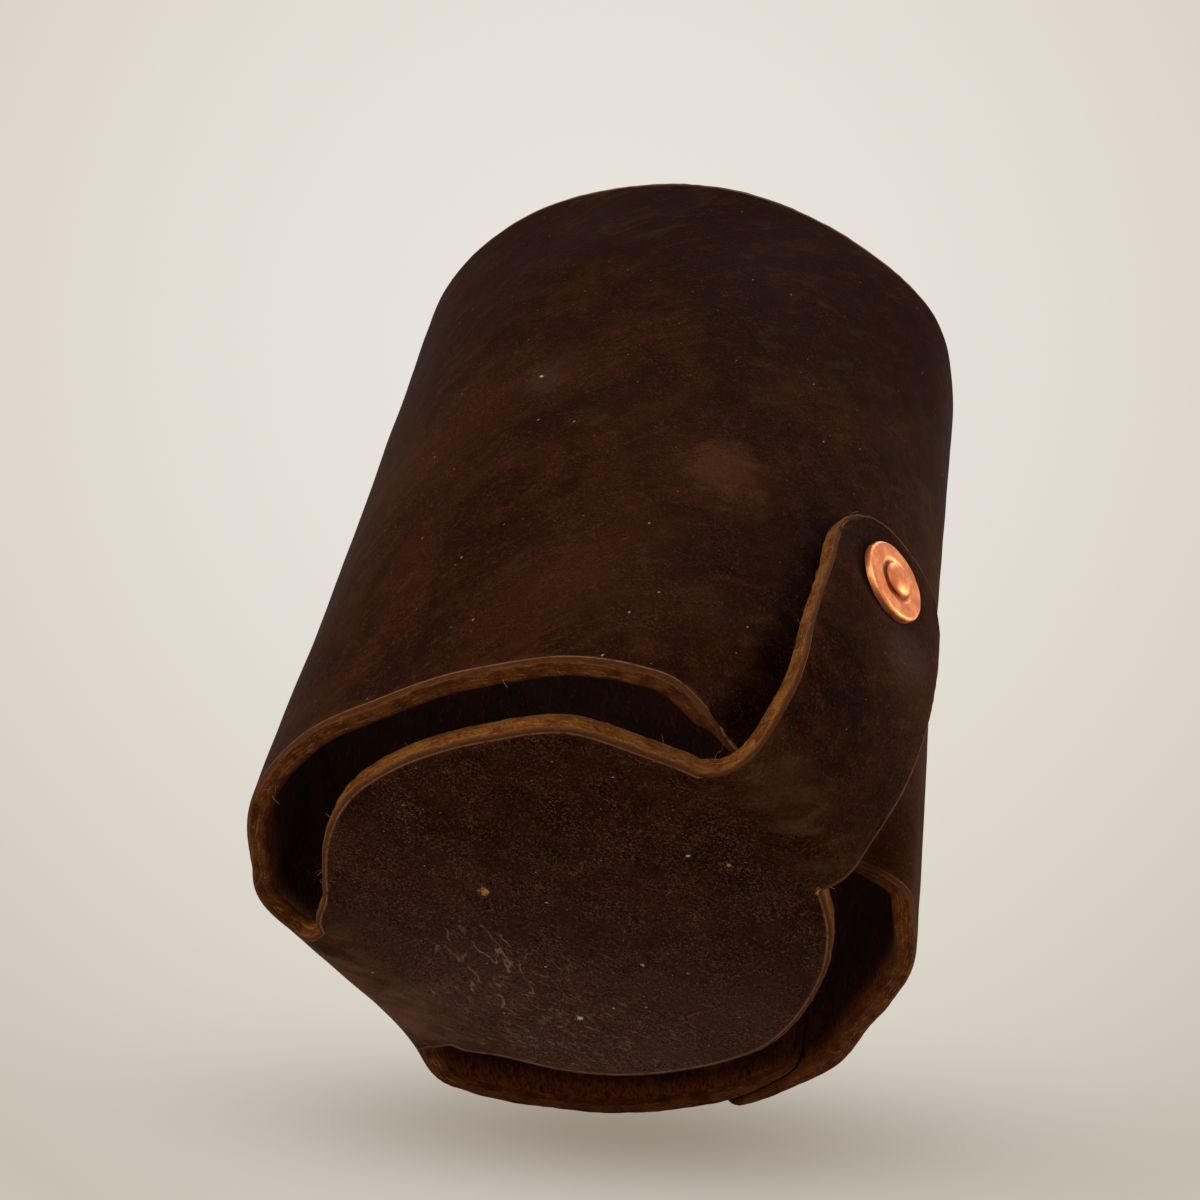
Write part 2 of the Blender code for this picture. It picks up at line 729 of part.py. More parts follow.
def make_material(name, colour, roughness, metallic):
    material = bpy.data.materials.new(name)
    material.use_nodes = True
    shader = material.node_tree.nodes["Principled BSDF"]
    shader.inputs["Base Color"].default_value = (*colour, 1.0)
    shader.inputs["Roughness"].default_value = roughness
    shader.inputs["Metallic"].default_value = metallic
    return material


def finish_piece(piece, sharp_degrees, material):
    piece.data.shade_smooth()
    piece.data.set_sharp_from_angle(angle=math.radians(sharp_degrees))
    piece.data.materials.append(material)


def finish_copper(piece):
    material = make_material(piece.name + "_copper", COPPER_COLOUR, COPPER_ROUGHNESS, 1.0)
    finish_piece(piece, COPPER_SHARP, material)


def main():
    for existing in list(bpy.data.objects):
        bpy.data.objects.remove(existing, do_unlink=True)

    parts = bpy.data.collections.new("leather_can_cooler")
    cutters = bpy.data.collections.new("cutters")
    bpy.context.scene.collection.children.link(parts)
    bpy.context.scene.collection.children.link(cutters)

    leather = build_leather(parts)
    dark_brown = make_material("dark_brown_leather", LEATHER_COLOUR, LEATHER_ROUGHNESS, 0.0)
    finish_piece(leather, LEATHER_SHARP, dark_brown)

    copper = []
    strap_face = STRAP_MID + LEATHER * HALF
    copper += add_rivet(
        "strap", STRAP_RIVET_AZIMUTH, STRAP_RIVET_HEIGHT, strap_face, leather, parts, cutters
    )
    lowest = EDGE_HEIGHT + SEAM_RIVET_MARGIN
    highest = SLEEVE_TOP - SEAM_RIVET_MARGIN
    for index in range(SEAM_RIVETS):
        height = mix(lowest, highest, index / max(1, SEAM_RIVETS - 1))
        label = "seam_%d" % (index + 1)
        copper += add_rivet(label, SEAM_AZIMUTH, height, SEAM_FACE, leather, parts, cutters)
    for piece in copper:
        finish_copper(piece)


main()
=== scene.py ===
# Leather can cooler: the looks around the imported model.
#
# The one cut piece of leather is remade here on a fine grid, with its two faces, its cut edge
# and its wear, and each copper rivet and burr is turned again with fine steps.
# Frame: metres, +Z up, strap at -Y, neck at +Y, seam at +X, base's underside at z = 0.

import math
import random

import bmesh
import bpy
from mathutils import Matrix, Vector, kdtree, noise


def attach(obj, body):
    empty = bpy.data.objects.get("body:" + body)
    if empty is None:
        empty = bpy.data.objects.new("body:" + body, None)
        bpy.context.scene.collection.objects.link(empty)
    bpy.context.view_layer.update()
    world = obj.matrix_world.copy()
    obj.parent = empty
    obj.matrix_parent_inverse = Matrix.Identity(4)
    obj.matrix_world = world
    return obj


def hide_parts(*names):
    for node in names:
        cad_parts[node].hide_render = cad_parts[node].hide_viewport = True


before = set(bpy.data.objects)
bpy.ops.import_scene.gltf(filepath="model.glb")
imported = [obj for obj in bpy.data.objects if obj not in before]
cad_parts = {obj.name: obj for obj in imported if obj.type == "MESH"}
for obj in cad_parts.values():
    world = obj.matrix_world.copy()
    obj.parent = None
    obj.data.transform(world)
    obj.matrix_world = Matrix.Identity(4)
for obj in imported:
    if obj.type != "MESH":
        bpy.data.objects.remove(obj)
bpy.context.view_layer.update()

MM = 0.001
HALF = 0.5
QUARTER_TURN = math.pi / 2.0
FULL_TURN = 2.0 * math.pi
UP = Vector((0.0, 0.0, 1.0))

# The can that the sleeve is cut for, and the leather
CAN_DIAMETER = 66.2 * MM
CAN_CLEARANCE = 0.5 * MM
LEATHER = 2.4 * MM
LAYER_GAP = 0.3 * MM

# Azimuths in degrees, counted from +X towards +Y
SEAM_AZIMUTH = 0.0
NECK_AZIMUTH = 90.0
STRAP_AZIMUTH = 270.0

# Sleeve
SLEEVE_HEIGHT = 88.6 * MM
EDGE_HEIGHT = 1.6 * MM
OVERLAP = 12.0 * MM
STEP_RAMP = 9.0 * MM
SKIVED_END = 1.0 * MM
CORNER_RADIUS = 2.0 * MM

# Soft waves of the sleeve's free edges: azimuth and half width in degrees, depth in metres
BOTTOM_WAVES = (
    (221.0, 19.0, 1.7 * MM),
    (205.0, 16.0, -1.0 * MM),
    (182.0, 13.0, -1.3 * MM),
    (143.0, 16.0, 0.9 * MM),
    (60.0, 13.0, 2.6 * MM),
    (37.0, 21.0, 1.6 * MM),
    (312.0, 11.0, 0.9 * MM),
)
BOTTOM_WAVE_HEIGHT = 26.0 * MM
TOP_WAVES = (
    (277.0, 15.0, 1.3 * MM),
    (200.0, 35.0, -0.45 * MM),
)
TOP_WAVE_HEIGHT = 14.0 * MM

# Round base, neck and strap
BASE_INSET = 5.7 * MM
BASE_WAVES = (
    (216.0, 11.0, 1.2 * MM),
    (348.0, 14.0, 0.6 * MM),
    (158.0, 16.0, 0.6 * MM),
    (65.8, 7.0, 2.0 * MM),
    (114.2, 7.0, 2.0 * MM),
)
NECK_WIDTH = 23.0 * MM
NECK_WAIST = 0.6 * MM
NECK_MARGIN = 0.2 * MM
NECK_BEND = 4.3 * MM
NECK_FADE = 12.0 * MM
NECK_SEAM_FADE = 8.0 * MM
NECK_FLAT_LOW = 6.0 * MM
NECK_FLAT_HIGH = 16.0 * MM
STRAP_WIDTH = 21.2 * MM
STRAP_TOP = 40.4 * MM
STRAP_FOLD_INSET = 0.8 * MM
STRAP_BEND = 4.0 * MM
STRAP_SLANT = 6.5 * MM
STRAP_LAY = 22.0 * MM
STRAP_FLAT_HIGH = 18.0 * MM
STRAP_TWIST = 0.9 * MM
TWIST_HEIGHT = 9.0 * MM
TWIST_SPREAD = 8.0 * MM
STRAP_LEFT_CORNER = 9.0 * MM
STRAP_RIGHT_CORNER = 6.5 * MM
FILLET_WIDTH = 5.0 * MM
FILLET_START = -5.0 * MM
FILLET_LENGTH = 8.0 * MM
FILLET_POWER = 3
WAIST_DEPTH = 0.9 * MM
WAIST_CENTRE = 2.0 * MM
WAIST_LENGTH = 10.0 * MM
LEAN_LOW = -0.8 * MM
LEAN_HIGH = 0.9 * MM
LEAN_START = 18.0 * MM
LEAN_LENGTH = 16.0 * MM
PINCH_LEFT_MARGIN = 1.2 * MM
PINCH_LEFT_FADE = 14.0 * MM
PINCH_LEFT_LIFT = 2.0 * MM
LIFT_LEFT_FADE = 8.0 * MM
PINCH_RIGHT_MARGIN = 0.2 * MM
PINCH_RIGHT_FADE = 7.0 * MM
PINCH_RIGHT_LIFT = 3.6 * MM
LIFT_RIGHT_FADE = 12.0 * MM
LIFT_HEIGHT = 16.0 * MM

# Copper rivets and burrs
SHANK_DIAMETER = 2.8 * MM
HEAD_DIAMETER = 9.5 * MM
HEAD_THICKNESS = 0.8 * MM
HEAD_ROUNDING = 0.35 * MM
HEAD_SINK = 0.35 * MM
BURR_DIAMETER = 9.5 * MM
BURR_THICKNESS = 1.0 * MM
BURR_ROUNDING = 0.4 * MM
BURR_SINK = 0.3 * MM
DISH_DEPTH = 0.2 * MM
DISH_MARGIN = 0.35 * MM
DISH_RAMP = 0.6 * MM
DOME_DIAMETER = 4.1 * MM
DOME_HEIGHT = 0.8 * MM
METAL_GAP = 0.25 * MM
STRAP_RIVET_AZIMUTH = 268.9
STRAP_RIVET_HEIGHT = 32.2 * MM
SEAM_RIVETS = 3
SEAM_RIVET_MARGIN = 14.0 * MM

# Fineness and hammer marks of the copper
TURN_STEPS = 96
ARC_STEPS = 6
DOME_STEPS = 12
DOME_FLATNESS = 0.8
HEAD_RINGS = 6
COPPER_SHARP = 35.0
HAMMER_DEPTH = 0.06 * MM
HAMMER_LENGTH = 1.3 * MM
SEED_STEP = 10

# How far the copper dents the leather round it
DENT_FLOOR = 4.3 * MM
DENT_RADIUS = 7.6 * MM
BURR_DENT = 0.42 * MM
HEAD_DENT = 0.45 * MM
FACE_MARGIN = 0.7 * MM

# Fineness of the leather's grid, and in millimetres its first columns at the sleeve's two ends
GRID = 0.85 * MM
BEND_STEP = 0.6 * MM
NECK_COLUMNS = 14
NECK_ROWS = 8
STRAP_COLUMNS = 20
ROOT_ROWS = 6
BASE_RINGS = 26
CORNER_COLUMNS = (0.0, 0.08, 0.25, 0.55, 1.0, 1.5)
SOLVE_STEPS = 40
NEARLY_FLAT = 1e-4

# Cut edge: rounding at its two corners and how ragged the knife left it
EDGE_ROUNDING = 0.5 * MM
ROUNDING_STEPS = 3
EDGE_STEPS = 4
HAND_CUT = 0.10 * MM
HAND_CUT_LENGTH = 6.0 * MM
RAGGED = 0.13 * MM
RAGGED_LENGTH = 1.1 * MM

# Unevenness of the leather's faces: height and length of the swells
SWELLS = ((0.16 * MM, 15.0 * MM), (0.05 * MM, 4.0 * MM))

# Where sharp bends wear the leather, by the length along it
NECK_WEAR = 4.5 * MM
FOLD_WEAR = 3.0 * MM
FOLD_SHARE = 0.35

# Loose fibres at the cut edge
HAIR_COUNT = 110
HAIR_SEED = 11
HAIR_LENGTH = (0.5 * MM, 2.2 * MM)
HAIR_ASIDE = 1.3
HAIR_RAISED = 0.7
HAIR_CURL = 0.5
HAIR_ROOT = 0.15 * MM
HAIR_SPREAD = 0.6 * MM
HAIR_STEPS = 6
HAIR_SIDES = 3
HAIR_RADIUS = 0.035 * MM
HAIR_TIP = 0.02 * MM

# Colours, all linear
COPPER_DEEP = (0.62, 0.170, 0.055)
COPPER_PALE = (0.88, 0.315, 0.125)
COPPER_GRIME = (0.09, 0.025, 0.010)
GRAIN_DARK = (0.011, 0.0022, 0.0006)
GRAIN_LIGHT = (0.026, 0.0068, 0.0020)
GRAIN_WARM = (0.055, 0.019, 0.0070)
GRAIN_ORANGE = (0.095, 0.035, 0.011)
GRAIN_SPECKLE = (0.115, 0.042, 0.021)
# Near black: the grain's pores, and painted shade beside the strap and round its burr
GRAIN_PORE_AND_SHADE = (0.003, 0.0005, 0.0002)
GRAIN_HAZE = (0.085, 0.042, 0.030)
GRAIN_GREY = (0.066, 0.031, 0.020)
GRAIN_DOTS = (0.180, 0.086, 0.056)
GRAIN_SCRATCH = (0.26, 0.155, 0.105)
GRAIN_WORN = (0.15, 0.068, 0.030)
GRAIN_EDGE = (0.25, 0.11, 0.045)
GRAIN_PALE_SPECK = (0.55, 0.45, 0.36)
NICK_TAN = (0.50, 0.22, 0.055)
PALE_MARK = (0.52, 0.44, 0.28)
FLESH_DARK = (0.012, 0.0018, 0.0008)
FLESH_LIGHT = (0.024, 0.0045, 0.0013)
FLESH_FIBRE = (0.105, 0.024, 0.004)
CUT_DARK = (0.042, 0.009, 0.0022)
CUT_LIGHT = (0.105, 0.028, 0.0058)
CUT_GOLD = (0.215, 0.079, 0.0165)
CUT_FIBRE = (0.330, 0.110, 0.022)
CUT_GOLD_FIBRE = (0.400, 0.165, 0.040)
CUT_PIT = (0.022, 0.0045, 0.001)
FIBRE_PALE = (0.36, 0.17, 0.06)

# Marks on the flat piece: centre and radius in millimetres, how much they show, and colour
GRAIN_PATCHES = (
    ((88.0, 34.5), 6.0, 0.45, GRAIN_ORANGE),
    ((74.0, 12.0), 10.0, 0.30, GRAIN_WARM),
    ((48.0, 40.0), 12.0, 0.25, GRAIN_WARM),
    # Painted shade: a dark patch near the sleeve's top
    ((67.0, 57.0), 7.0, 0.65, GRAIN_DARK),
    ((67.0, 48.0), 4.0, 0.25, GRAIN_HAZE),
    ((4.4, -61.9), 4.0, 0.40, GRAIN_WARM),
    ((-4.0, -12.0), 9.0, 0.45, GRAIN_HAZE),
    ((-18.0, -14.0), 7.0, 0.40, GRAIN_HAZE),
    ((-24.0, -25.0), 7.0, 0.35, GRAIN_HAZE),
    ((-22.0, -38.0), 6.0, 0.30, GRAIN_HAZE),
    ((5.0, -3.0), 7.0, 0.55, GRAIN_WARM),
    ((-6.0, -2.0), 8.0, 0.75, GRAIN_HAZE),
    ((-2.0, 1.0), 7.0, 0.40, GRAIN_WORN),
    # Painted shade: a near black band on the sleeve along the strap's left side, where the strap
    # shades it
    ((97.5, 4.0), 5.0, 0.95, GRAIN_PORE_AND_SHADE),
    ((98.2, 10.0), 4.6, 0.95, GRAIN_PORE_AND_SHADE),
    ((98.9, 16.0), 4.2, 0.95, GRAIN_PORE_AND_SHADE),
    ((99.6, 22.0), 4.0, 0.95, GRAIN_PORE_AND_SHADE),
    ((100.2, 28.0), 3.8, 0.95, GRAIN_PORE_AND_SHADE),
    ((100.9, 34.0), 3.6, 0.90, GRAIN_PORE_AND_SHADE),
    ((-3.0, -85.0), 6.0, 0.40, GRAIN_HAZE),
    ((1.0, -92.0), 7.0, 0.35, GRAIN_HAZE),
    # A darker strap just past its fold
    ((3.0, -70.0), 9.0, 0.65, GRAIN_PORE_AND_SHADE),
    # Painted shade: a dark patch round the strap's burr, where it sinks into the leather
    ((0.4, -92.9), 8.0, 0.80, GRAIN_PORE_AND_SHADE),
)
GRAIN_SMALL_MARKS = (
    ((8.0, -24.8), 0.55, NICK_TAN),
    ((-8.7, -57.2), 0.50, NICK_TAN),
    ((-1.0, -51.0), 0.22, NICK_TAN),
    ((2.2, -48.1), 0.20, PALE_MARK),
    ((0.2, -34.3), 0.30, GRAIN_HAZE),
    ((6.7, -37.2), 0.30, GRAIN_WORN),
    ((-14.0, -20.8), 0.40, PALE_MARK),
    ((-9.6, -33.0), 0.28, PALE_MARK),
    # A small pale spot on the sleeve
    ((66.0, 48.6), 0.25, PALE_MARK),
    ((101.0, 12.5), 0.40, NICK_TAN),
)
CREASE_CENTRE = (-2.0, -17.0)
CREASE_RADIUS = 9.0
HAZE_CENTRE = (-15.0, -18.0)
HAZE_RADIUS = 16.0

# Pale specks: stretch, turn, spacing and radius in millimetres, share of the cells, and strength
GRAIN_SPECKS = (
    ((1.0, 0.55, 1.0), 30.0, 2.2, 0.12, 0.42, 1.0),
    ((0.6, 1.0, 1.0), -20.0, 1.2, 0.07, 0.38, 0.7),
)

# Patterns: length of the swells in millimetres, detail, roughness, distortion, stretch, turn
GRAIN_CLOUDS = (15.0, 3.0, 0.55, 0.6, (1.0, 0.5, 1.0), 35.0)
GRAIN_BLOOM = (4.0, 4.0, 0.62, 0.3)
GRAIN_STREAKS = (1.6, 4.0, 0.6, 0.5, (1.0, 0.3, 1.0), 55.0)
GRAIN_GRIT = (0.26, 3.0, 0.85, 0.3)
GRAIN_BLOTCHES = (0.75, 4.0, 0.75, 0.8)
GRAIN_UNEVEN = (2.4, 4.0, 0.7, 0.5, (1.0, 0.6, 1.0), 20.0)
GRAIN_PORES = (0.14, 1.0, 0.5)
GRAIN_WRINKLES = (0.8, 4.0, 0.6, 0.8, (0.35, 1.0, 1.0))
GRAIN_THREADS = (0.35, 3.0, 0.6, 0.6, (0.30, 1.0, 1.0), -30.0)
EDGE_TEAR = (1.1, 3.0)
MARK_TEAR = 0.5
FLESH_FIBRES = (0.55, 5.0, 0.7, 1.2, (1.0, 0.35, 1.0), 15.0)
FLESH_CLOUDS = (8.0, 3.0)
CUT_LAYERS = (0.55, 4.0, 0.65, 0.6, (0.30, 0.30, 2.4))
CUT_FIBRES = (0.28, 4.0, 0.75, 0.8, (1.0, 1.0, 2.0))
CUT_PATCHES = (3.0, 4.0, 0.7)
FIBRE_SWELL = 1.2
COPPER_CLOUDS = (1.6, 3.0, 0.6)
COPPER_LINES = (0.35, 3.0, 0.6, 0.0, (1.0, 6.0, 1.0), 25.0)

# Scratches: stretch and turn, then length and width in millimetres, share, and strength
CREASE_STRETCH = ((0.45, 1.0, 1.0), 15.0)
CREASE_LINES = (3.2, 0.022, 0.55, 0.75)
HAIRLINE_STRETCH = ((1.0, 0.30, 1.0), -35.0)
HAIRLINES = (3.0, 0.010, 0.24, 0.22)
SCRATCH_DETAIL = 3.0
BREAK_LENGTH = 0.4
BREAK_FADE = 0.08

# How ragged a patch's border is, where it ends and where it is full, in shares of its radius
PATCH_TEAR = 3.0
PATCH_END = 2.8
PATCH_FULL = 1.4

# Regions of the flat piece: where each fades in, in millimetres up from the sleeve's edge
# Painted shade: the top region darkens the sleeve towards its top
TOP_SHADE_REGION = (50.0, 82.0)
OFF_SLEEVE = (2.0, -7.0)
BASE_REGION = (-3.0, -12.0)
OFF_STRAP = (-64.0, -52.0)
GOLD_REGION = (4.0, -10.0)

# Sums of patterns: the number to start from, then the weight of each pattern
# Painted shade: the last weight of the first two sums darkens the sleeve's top and thins its dots
# there
BROAD_SUM = (0.0, 0.55, 0.45, -0.20)
DOTS_SUM = (0.30, 0.28, -0.18)
PALE_SPECK_SUM = (0.45, 0.35)
CUT_SUM = (0.0, 1.0, 0.8)
GRAIN_ROUGH = (0.40, 0.25, 0.20)
FLESH_ROUGH = (0.7, 0.2)
COPPER_ROUGH = (0.32, 0.22, 0.3)

# How much single layers show
PORES_MORE = 0.20
SMALL_MARKS_SHOWN = 0.95
STAIN_SHOWN = 0.95
GRIME_SHOWN = 0.8

# Masks: where a pattern starts to show and where it is full, and some with their least and most
CLOUD_MASK = (0.40, 0.62)
STREAK_MASK = (0.50, 0.72, 0.0, 0.30)
GREY_DIRECTION = (-0.73, 0.68, 0.0)
GREY_FADE = (-44.0, 8.0, 0.0, 0.62)
GREY_MASK = (0.30, 0.65, 0.55, 1.15)
UNEVEN_MASK = (0.36, 0.64, 0.35, 1.30)
SPECKLE_MASK = (0.52, 0.66)
BLOTCH_MASK = (0.52, 0.70, 0.0, 0.60)
PORE_MASK = (0.50, 0.36)
THREAD_MASK = (0.52, 0.68, 0.0, 0.40)
WORN_MASK = (0.35, 0.65, 0.0, 0.50)
EDGE_MASK = (0.22, 0.52, 0.0, 0.85)
EDGE_FADE = (0.60, 0.10)
RUB_MASK = (0.38, 0.62, 0.0, 0.35)
RUB_FADE = (2.2, 0.2)
FLESH_CLOUD_MASK = (0.35, 0.70)
FLESH_FIBRE_MASK = (0.50, 0.72, 0.0, 0.70)
FLESH_WORN_MASK = (0.35, 0.60)
FLESH_RIM_FADE = (5.0, 0.1)
CUT_PATCH_MASK = (0.38, 0.62)
CUT_LAYER_MASK = (0.52, 0.66, 0.0, 0.60)
CUT_PIT_MASK = (0.50, 0.36, 0.0, 0.80)
BURNISH_START = (0.95, 1.12)
BURNISH_END = (1.38, 1.15, 0.0, 0.25)
CUT_WARM_FADE = (1.00, 1.40, 0.0, 0.90)
CUT_STAIN_FADE = (0.10, -0.45, 0.0, 0.80)
COPPER_MASK = (0.35, 0.70)
GRIME_MASK = (0.30, 0.55)
GRIME_FADE = (0.42, 0.05)

# The photo's viewpoint, as directions in the object's frame
CAMERA_PLACE = Vector((-140.29, -146.15, -164.85)) * MM
CAMERA_RIGHT = Vector((0.60665, -0.77922, 0.15742))
CAMERA_DOWN = Vector((0.6464, 0.36824, -0.66826))
CAMERA_FORWARD = Vector((0.46276, 0.50716, 0.72708))
CAMERA_LENS = 72.0
CAMERA_SENSOR = 36.0
CAMERA_CLIP = 10.0 * MM
OBJECT_CENTRE = Vector((0.0, 0.0, 45.0)) * MM

# Floor, and the soft shadow painted on its underside beside the sleeve's lower edge
FLOOR_COLOUR = (0.72, 0.68, 0.62)
FLOOR_SIZE = 3.0
FLOOR_DROP = 0.3 * MM
FLOOR_FADE_START = 0.35
FLOOR_FADE_END = 0.9
SHADOW_AZIMUTH = 29.0
SHADOW_REACH = 38.0 * MM
SHADOW_DEPTH = 13.0 * MM
SHADOW_WIDTH = 42.0 * MM
SHADOW_START = 1.0 * MM
SHADOW_FULL = 4.0 * MM
SHADOW_TONE = (0.47, 0.43, 0.39)

# Backdrop for the camera, brightest a little above the middle of the photo's view
BRIGHT_DIRECTION = CAMERA_FORWARD * 0.99461 - CAMERA_DOWN * 0.10361
BACKDROP_CENTRE = (0.807, 0.776, 0.708)
BACKDROP_CORNER = (0.588, 0.530, 0.458)
BACKDROP_SPREAD = 0.80
BACKDROP_STOP = 0.4
AMBIENT = (0.33, 0.305, 0.285)

# Lamps: name, direction from the object, distance and size in metres, level, and colour
KEY_DIRECTION = -CAMERA_FORWARD - CAMERA_DOWN * 0.6 - CAMERA_RIGHT * 0.8
LAMPS = (
    ("key", KEY_DIRECTION, 0.7, 0.45, 0.82, (1.0, 0.97, 0.93)),
    ("back", Vector((0.70, -0.70, 0.08)), 0.8, 0.5, 0.80, (1.0, 0.98, 0.95)),
    ("top", Vector((-0.10, -0.12, 1.0)), 0.8, 0.6, 0.60, (1.0, 0.98, 0.95)),
)

# Radii and heights that follow from the sizes above
INNER_RADIUS = CAN_DIAMETER * HALF + CAN_CLEARANCE
MID_RADIUS = INNER_RADIUS + LEATHER * HALF
LAYER_STEP = LEATHER + LAYER_GAP
SLEEVE_START = math.radians(SEAM_AZIMUTH) - OVERLAP * HALF / MID_RADIUS
SLEEVE_TURN = FULL_TURN + OVERLAP / MID_RADIUS
BASE_RADIUS = INNER_RADIUS - BASE_INSET
BASE_MID = LEATHER * HALF
NECK_FOLD = BASE_RADIUS + NECK_MARGIN
NECK_REACH = NECK_FOLD + NECK_BEND
NECK_TOP = BASE_MID + NECK_BEND
NECK_CURL = QUARTER_TURN * NECK_BEND - (NECK_TOP - EDGE_HEIGHT)
NECK_ANGLE = math.radians(NECK_AZIMUTH)
NECK_TURN = NECK_ANGLE - SLEEVE_START
STRAP_ANGLE = math.radians(STRAP_AZIMUTH)
STRAP_FOLD = BASE_RADIUS - STRAP_FOLD_INSET
STRAP_MID = MID_RADIUS + LAYER_STEP
PINCH_REACH = STRAP_WIDTH * HALF + PINCH_LEFT_MARGIN + PINCH_LEFT_FADE
SEAM_FACE = INNER_RADIUS + SKIVED_END + LAYER_GAP + LEATHER
DOME_FOOT = (DOME_DIAMETER + DISH_MARGIN) * HALF


def smooth(value, start, end):
    """A soft step from 0 at start to 1 at end."""
    share = min(1.0, max(0.0, (value - start) / (end - start)))
    return share * share * (3.0 - 2.0 * share)


def hump(value, centre, spread):
    """A soft hump of height 1 at centre."""
    away = (value - centre) / spread
    return math.exp(-away * away)


def mix(first, second, share):
    """The value between two, by how far it is on the way to the second."""
    return first + (second - first) * share


def halve(is_low, low, high):
    """The place between low and high where is_low turns false."""
    for _ in range(SOLVE_STEPS):
        middle = (low + high) * HALF
        if is_low(middle):
            low = middle
        else:
            high = middle
    return (low + high) * HALF


def spaced(start, end, step):
    """Evenly spaced values after start, up to and including end."""
    count = max(1, round((end - start) / step))
    return [mix(start, end, index / count) for index in range(1, count + 1)]


def wrap_angle(angle):
    """The same angle between minus and plus half a turn, in radians."""
    return (angle + math.pi) % FULL_TURN - math.pi


def wave_sum(waves, azimuth):
    """How far the soft waves push the sleeve out at an azimuth."""
    total = 0.0
    for centre, width, depth in waves:
        away = wrap_angle(azimuth - math.radians(centre))
        total += depth * hump(away, 0.0, math.radians(width))
    return total


def frame_at(azimuth):
    """Unit vectors pointing out and sideways at an azimuth."""
    out = Vector((math.cos(azimuth), math.sin(azimuth), 0.0))
    side = Vector((-math.sin(azimuth), math.cos(azimuth), 0.0))
    return out, side


def point_at(azimuth, reach, sideways, height):
    """A point, by how far out and sideways it lies from an azimuth's line, and its height."""
    out, side = frame_at(azimuth)
    return out * reach + side * sideways + UP * height


def bent(across, radius, roundness):
    """Place a point across a band that is bent: sideways, and sagging in from its middle."""
    if roundness < NEARLY_FLAT:
        return across, 0.0
    bend_radius = radius / roundness
    angle = across / bend_radius
    return bend_radius * math.sin(angle), bend_radius * (1.0 - math.cos(angle))


# The strap: its route in the plane through the axis, and its outline along that route

def strap_slope():
    """The angle of the strap's slanting run that brings it out to its place on the sleeve."""
    def reaches_past(angle):
        reach = STRAP_BEND * math.sin(angle)
        reach += STRAP_SLANT * math.cos(angle)
        reach += STRAP_LAY * (1.0 - math.sin(angle))
        return reach > STRAP_MID - STRAP_FOLD

    return halve(reaches_past, 0.0, QUARTER_TURN)


STRAP_SLOPE = strap_slope()
BEND_END = STRAP_BEND * STRAP_SLOPE
LAY_START = BEND_END + STRAP_SLANT
LAY_END = LAY_START + STRAP_LAY * (QUARTER_TURN - STRAP_SLOPE)
BEND_RISE = STRAP_BEND * (1.0 - math.cos(STRAP_SLOPE))
SLANT_RISE = STRAP_SLANT * math.sin(STRAP_SLOPE)
LAY_RISE = STRAP_LAY * math.cos(STRAP_SLOPE)
UPRIGHT_HEIGHT = BASE_MID + BEND_RISE + SLANT_RISE + LAY_RISE
STRAP_LENGTH = LAY_END + STRAP_TOP - UPRIGHT_HEIGHT


def strap_route(length):
    """Reach, height and slope of the strap's middle, by the length past its fold."""
    if length <= 0.0:
        return STRAP_FOLD + length, BASE_MID, 0.0
    angle = min(length, BEND_END) / STRAP_BEND
    reach = STRAP_FOLD + STRAP_BEND * math.sin(angle)
    height = BASE_MID + STRAP_BEND * (1.0 - math.cos(angle))
    slant = min(max(length - BEND_END, 0.0), STRAP_SLANT)
    reach += slant * math.cos(STRAP_SLOPE)
    height += slant * math.sin(STRAP_SLOPE)
    angle += min(max(length - LAY_START, 0.0), LAY_END - LAY_START) / STRAP_LAY
    if length > LAY_START:
        reach += STRAP_LAY * (math.sin(angle) - math.sin(STRAP_SLOPE))
        height += STRAP_LAY * (math.cos(STRAP_SLOPE) - math.cos(angle))
    height += max(0.0, length - LAY_END)
    return reach, height, angle


def strap_roundness(height):
    """The strap is flat at the base and bent round the sleeve further up."""
    return smooth(height, BASE_MID, STRAP_FLAT_HIGH)


def strap_twist(across, height):
    """The strap's left side stands out a little more than its right side."""
    share = min(1.0, max(-1.0, across / (STRAP_WIDTH * HALF)))
    return -share * STRAP_TWIST * hump(height, TWIST_HEIGHT, TWIST_SPREAD)


def strap_point(across, length):
    """The strap's middle surface."""
    reach, height, _ = strap_route(length)
    sideways, sag = bent(across, STRAP_MID, strap_roundness(height))
    if length > 0.0:
        reach += strap_twist(across, height) * smooth(length, 0.0, BEND_END)
    return point_at(STRAP_ANGLE, reach - sag, sideways, height)


def reach_under_strap(height):
    """How far out the sleeve's middle may lie under the strap's middle at a height."""
    def lies_below(length):
        _, middle_height, slope = strap_route(length)
        return middle_height + LAYER_STEP * math.cos(slope) < height

    reach, _, slope = strap_route(halve(lies_below, 0.0, STRAP_LENGTH))
    return reach - LAYER_STEP * math.sin(slope)


def strap_edge(share, length):
    """Half the strap's width on the side that share points to, by the length past its fold."""
    half_width = STRAP_WIDTH * HALF - WAIST_DEPTH * hump(length, WAIST_CENTRE, WAIST_LENGTH)
    if share < 0.0:
        faded = min(1.0, max(0.0, (length - FILLET_START) / FILLET_LENGTH))
        half_width += FILLET_WIDTH * (1.0 - faded) ** FILLET_POWER
    return half_width


def strap_across(share, length):
    """How far sideways a column of the strap lies, as the strap leans a little to its right."""
    lean_share = smooth(length, LEAN_START, LEAN_START + LEAN_LENGTH)
    return share * strap_edge(share, length) + mix(LEAN_LOW, LEAN_HIGH, lean_share)


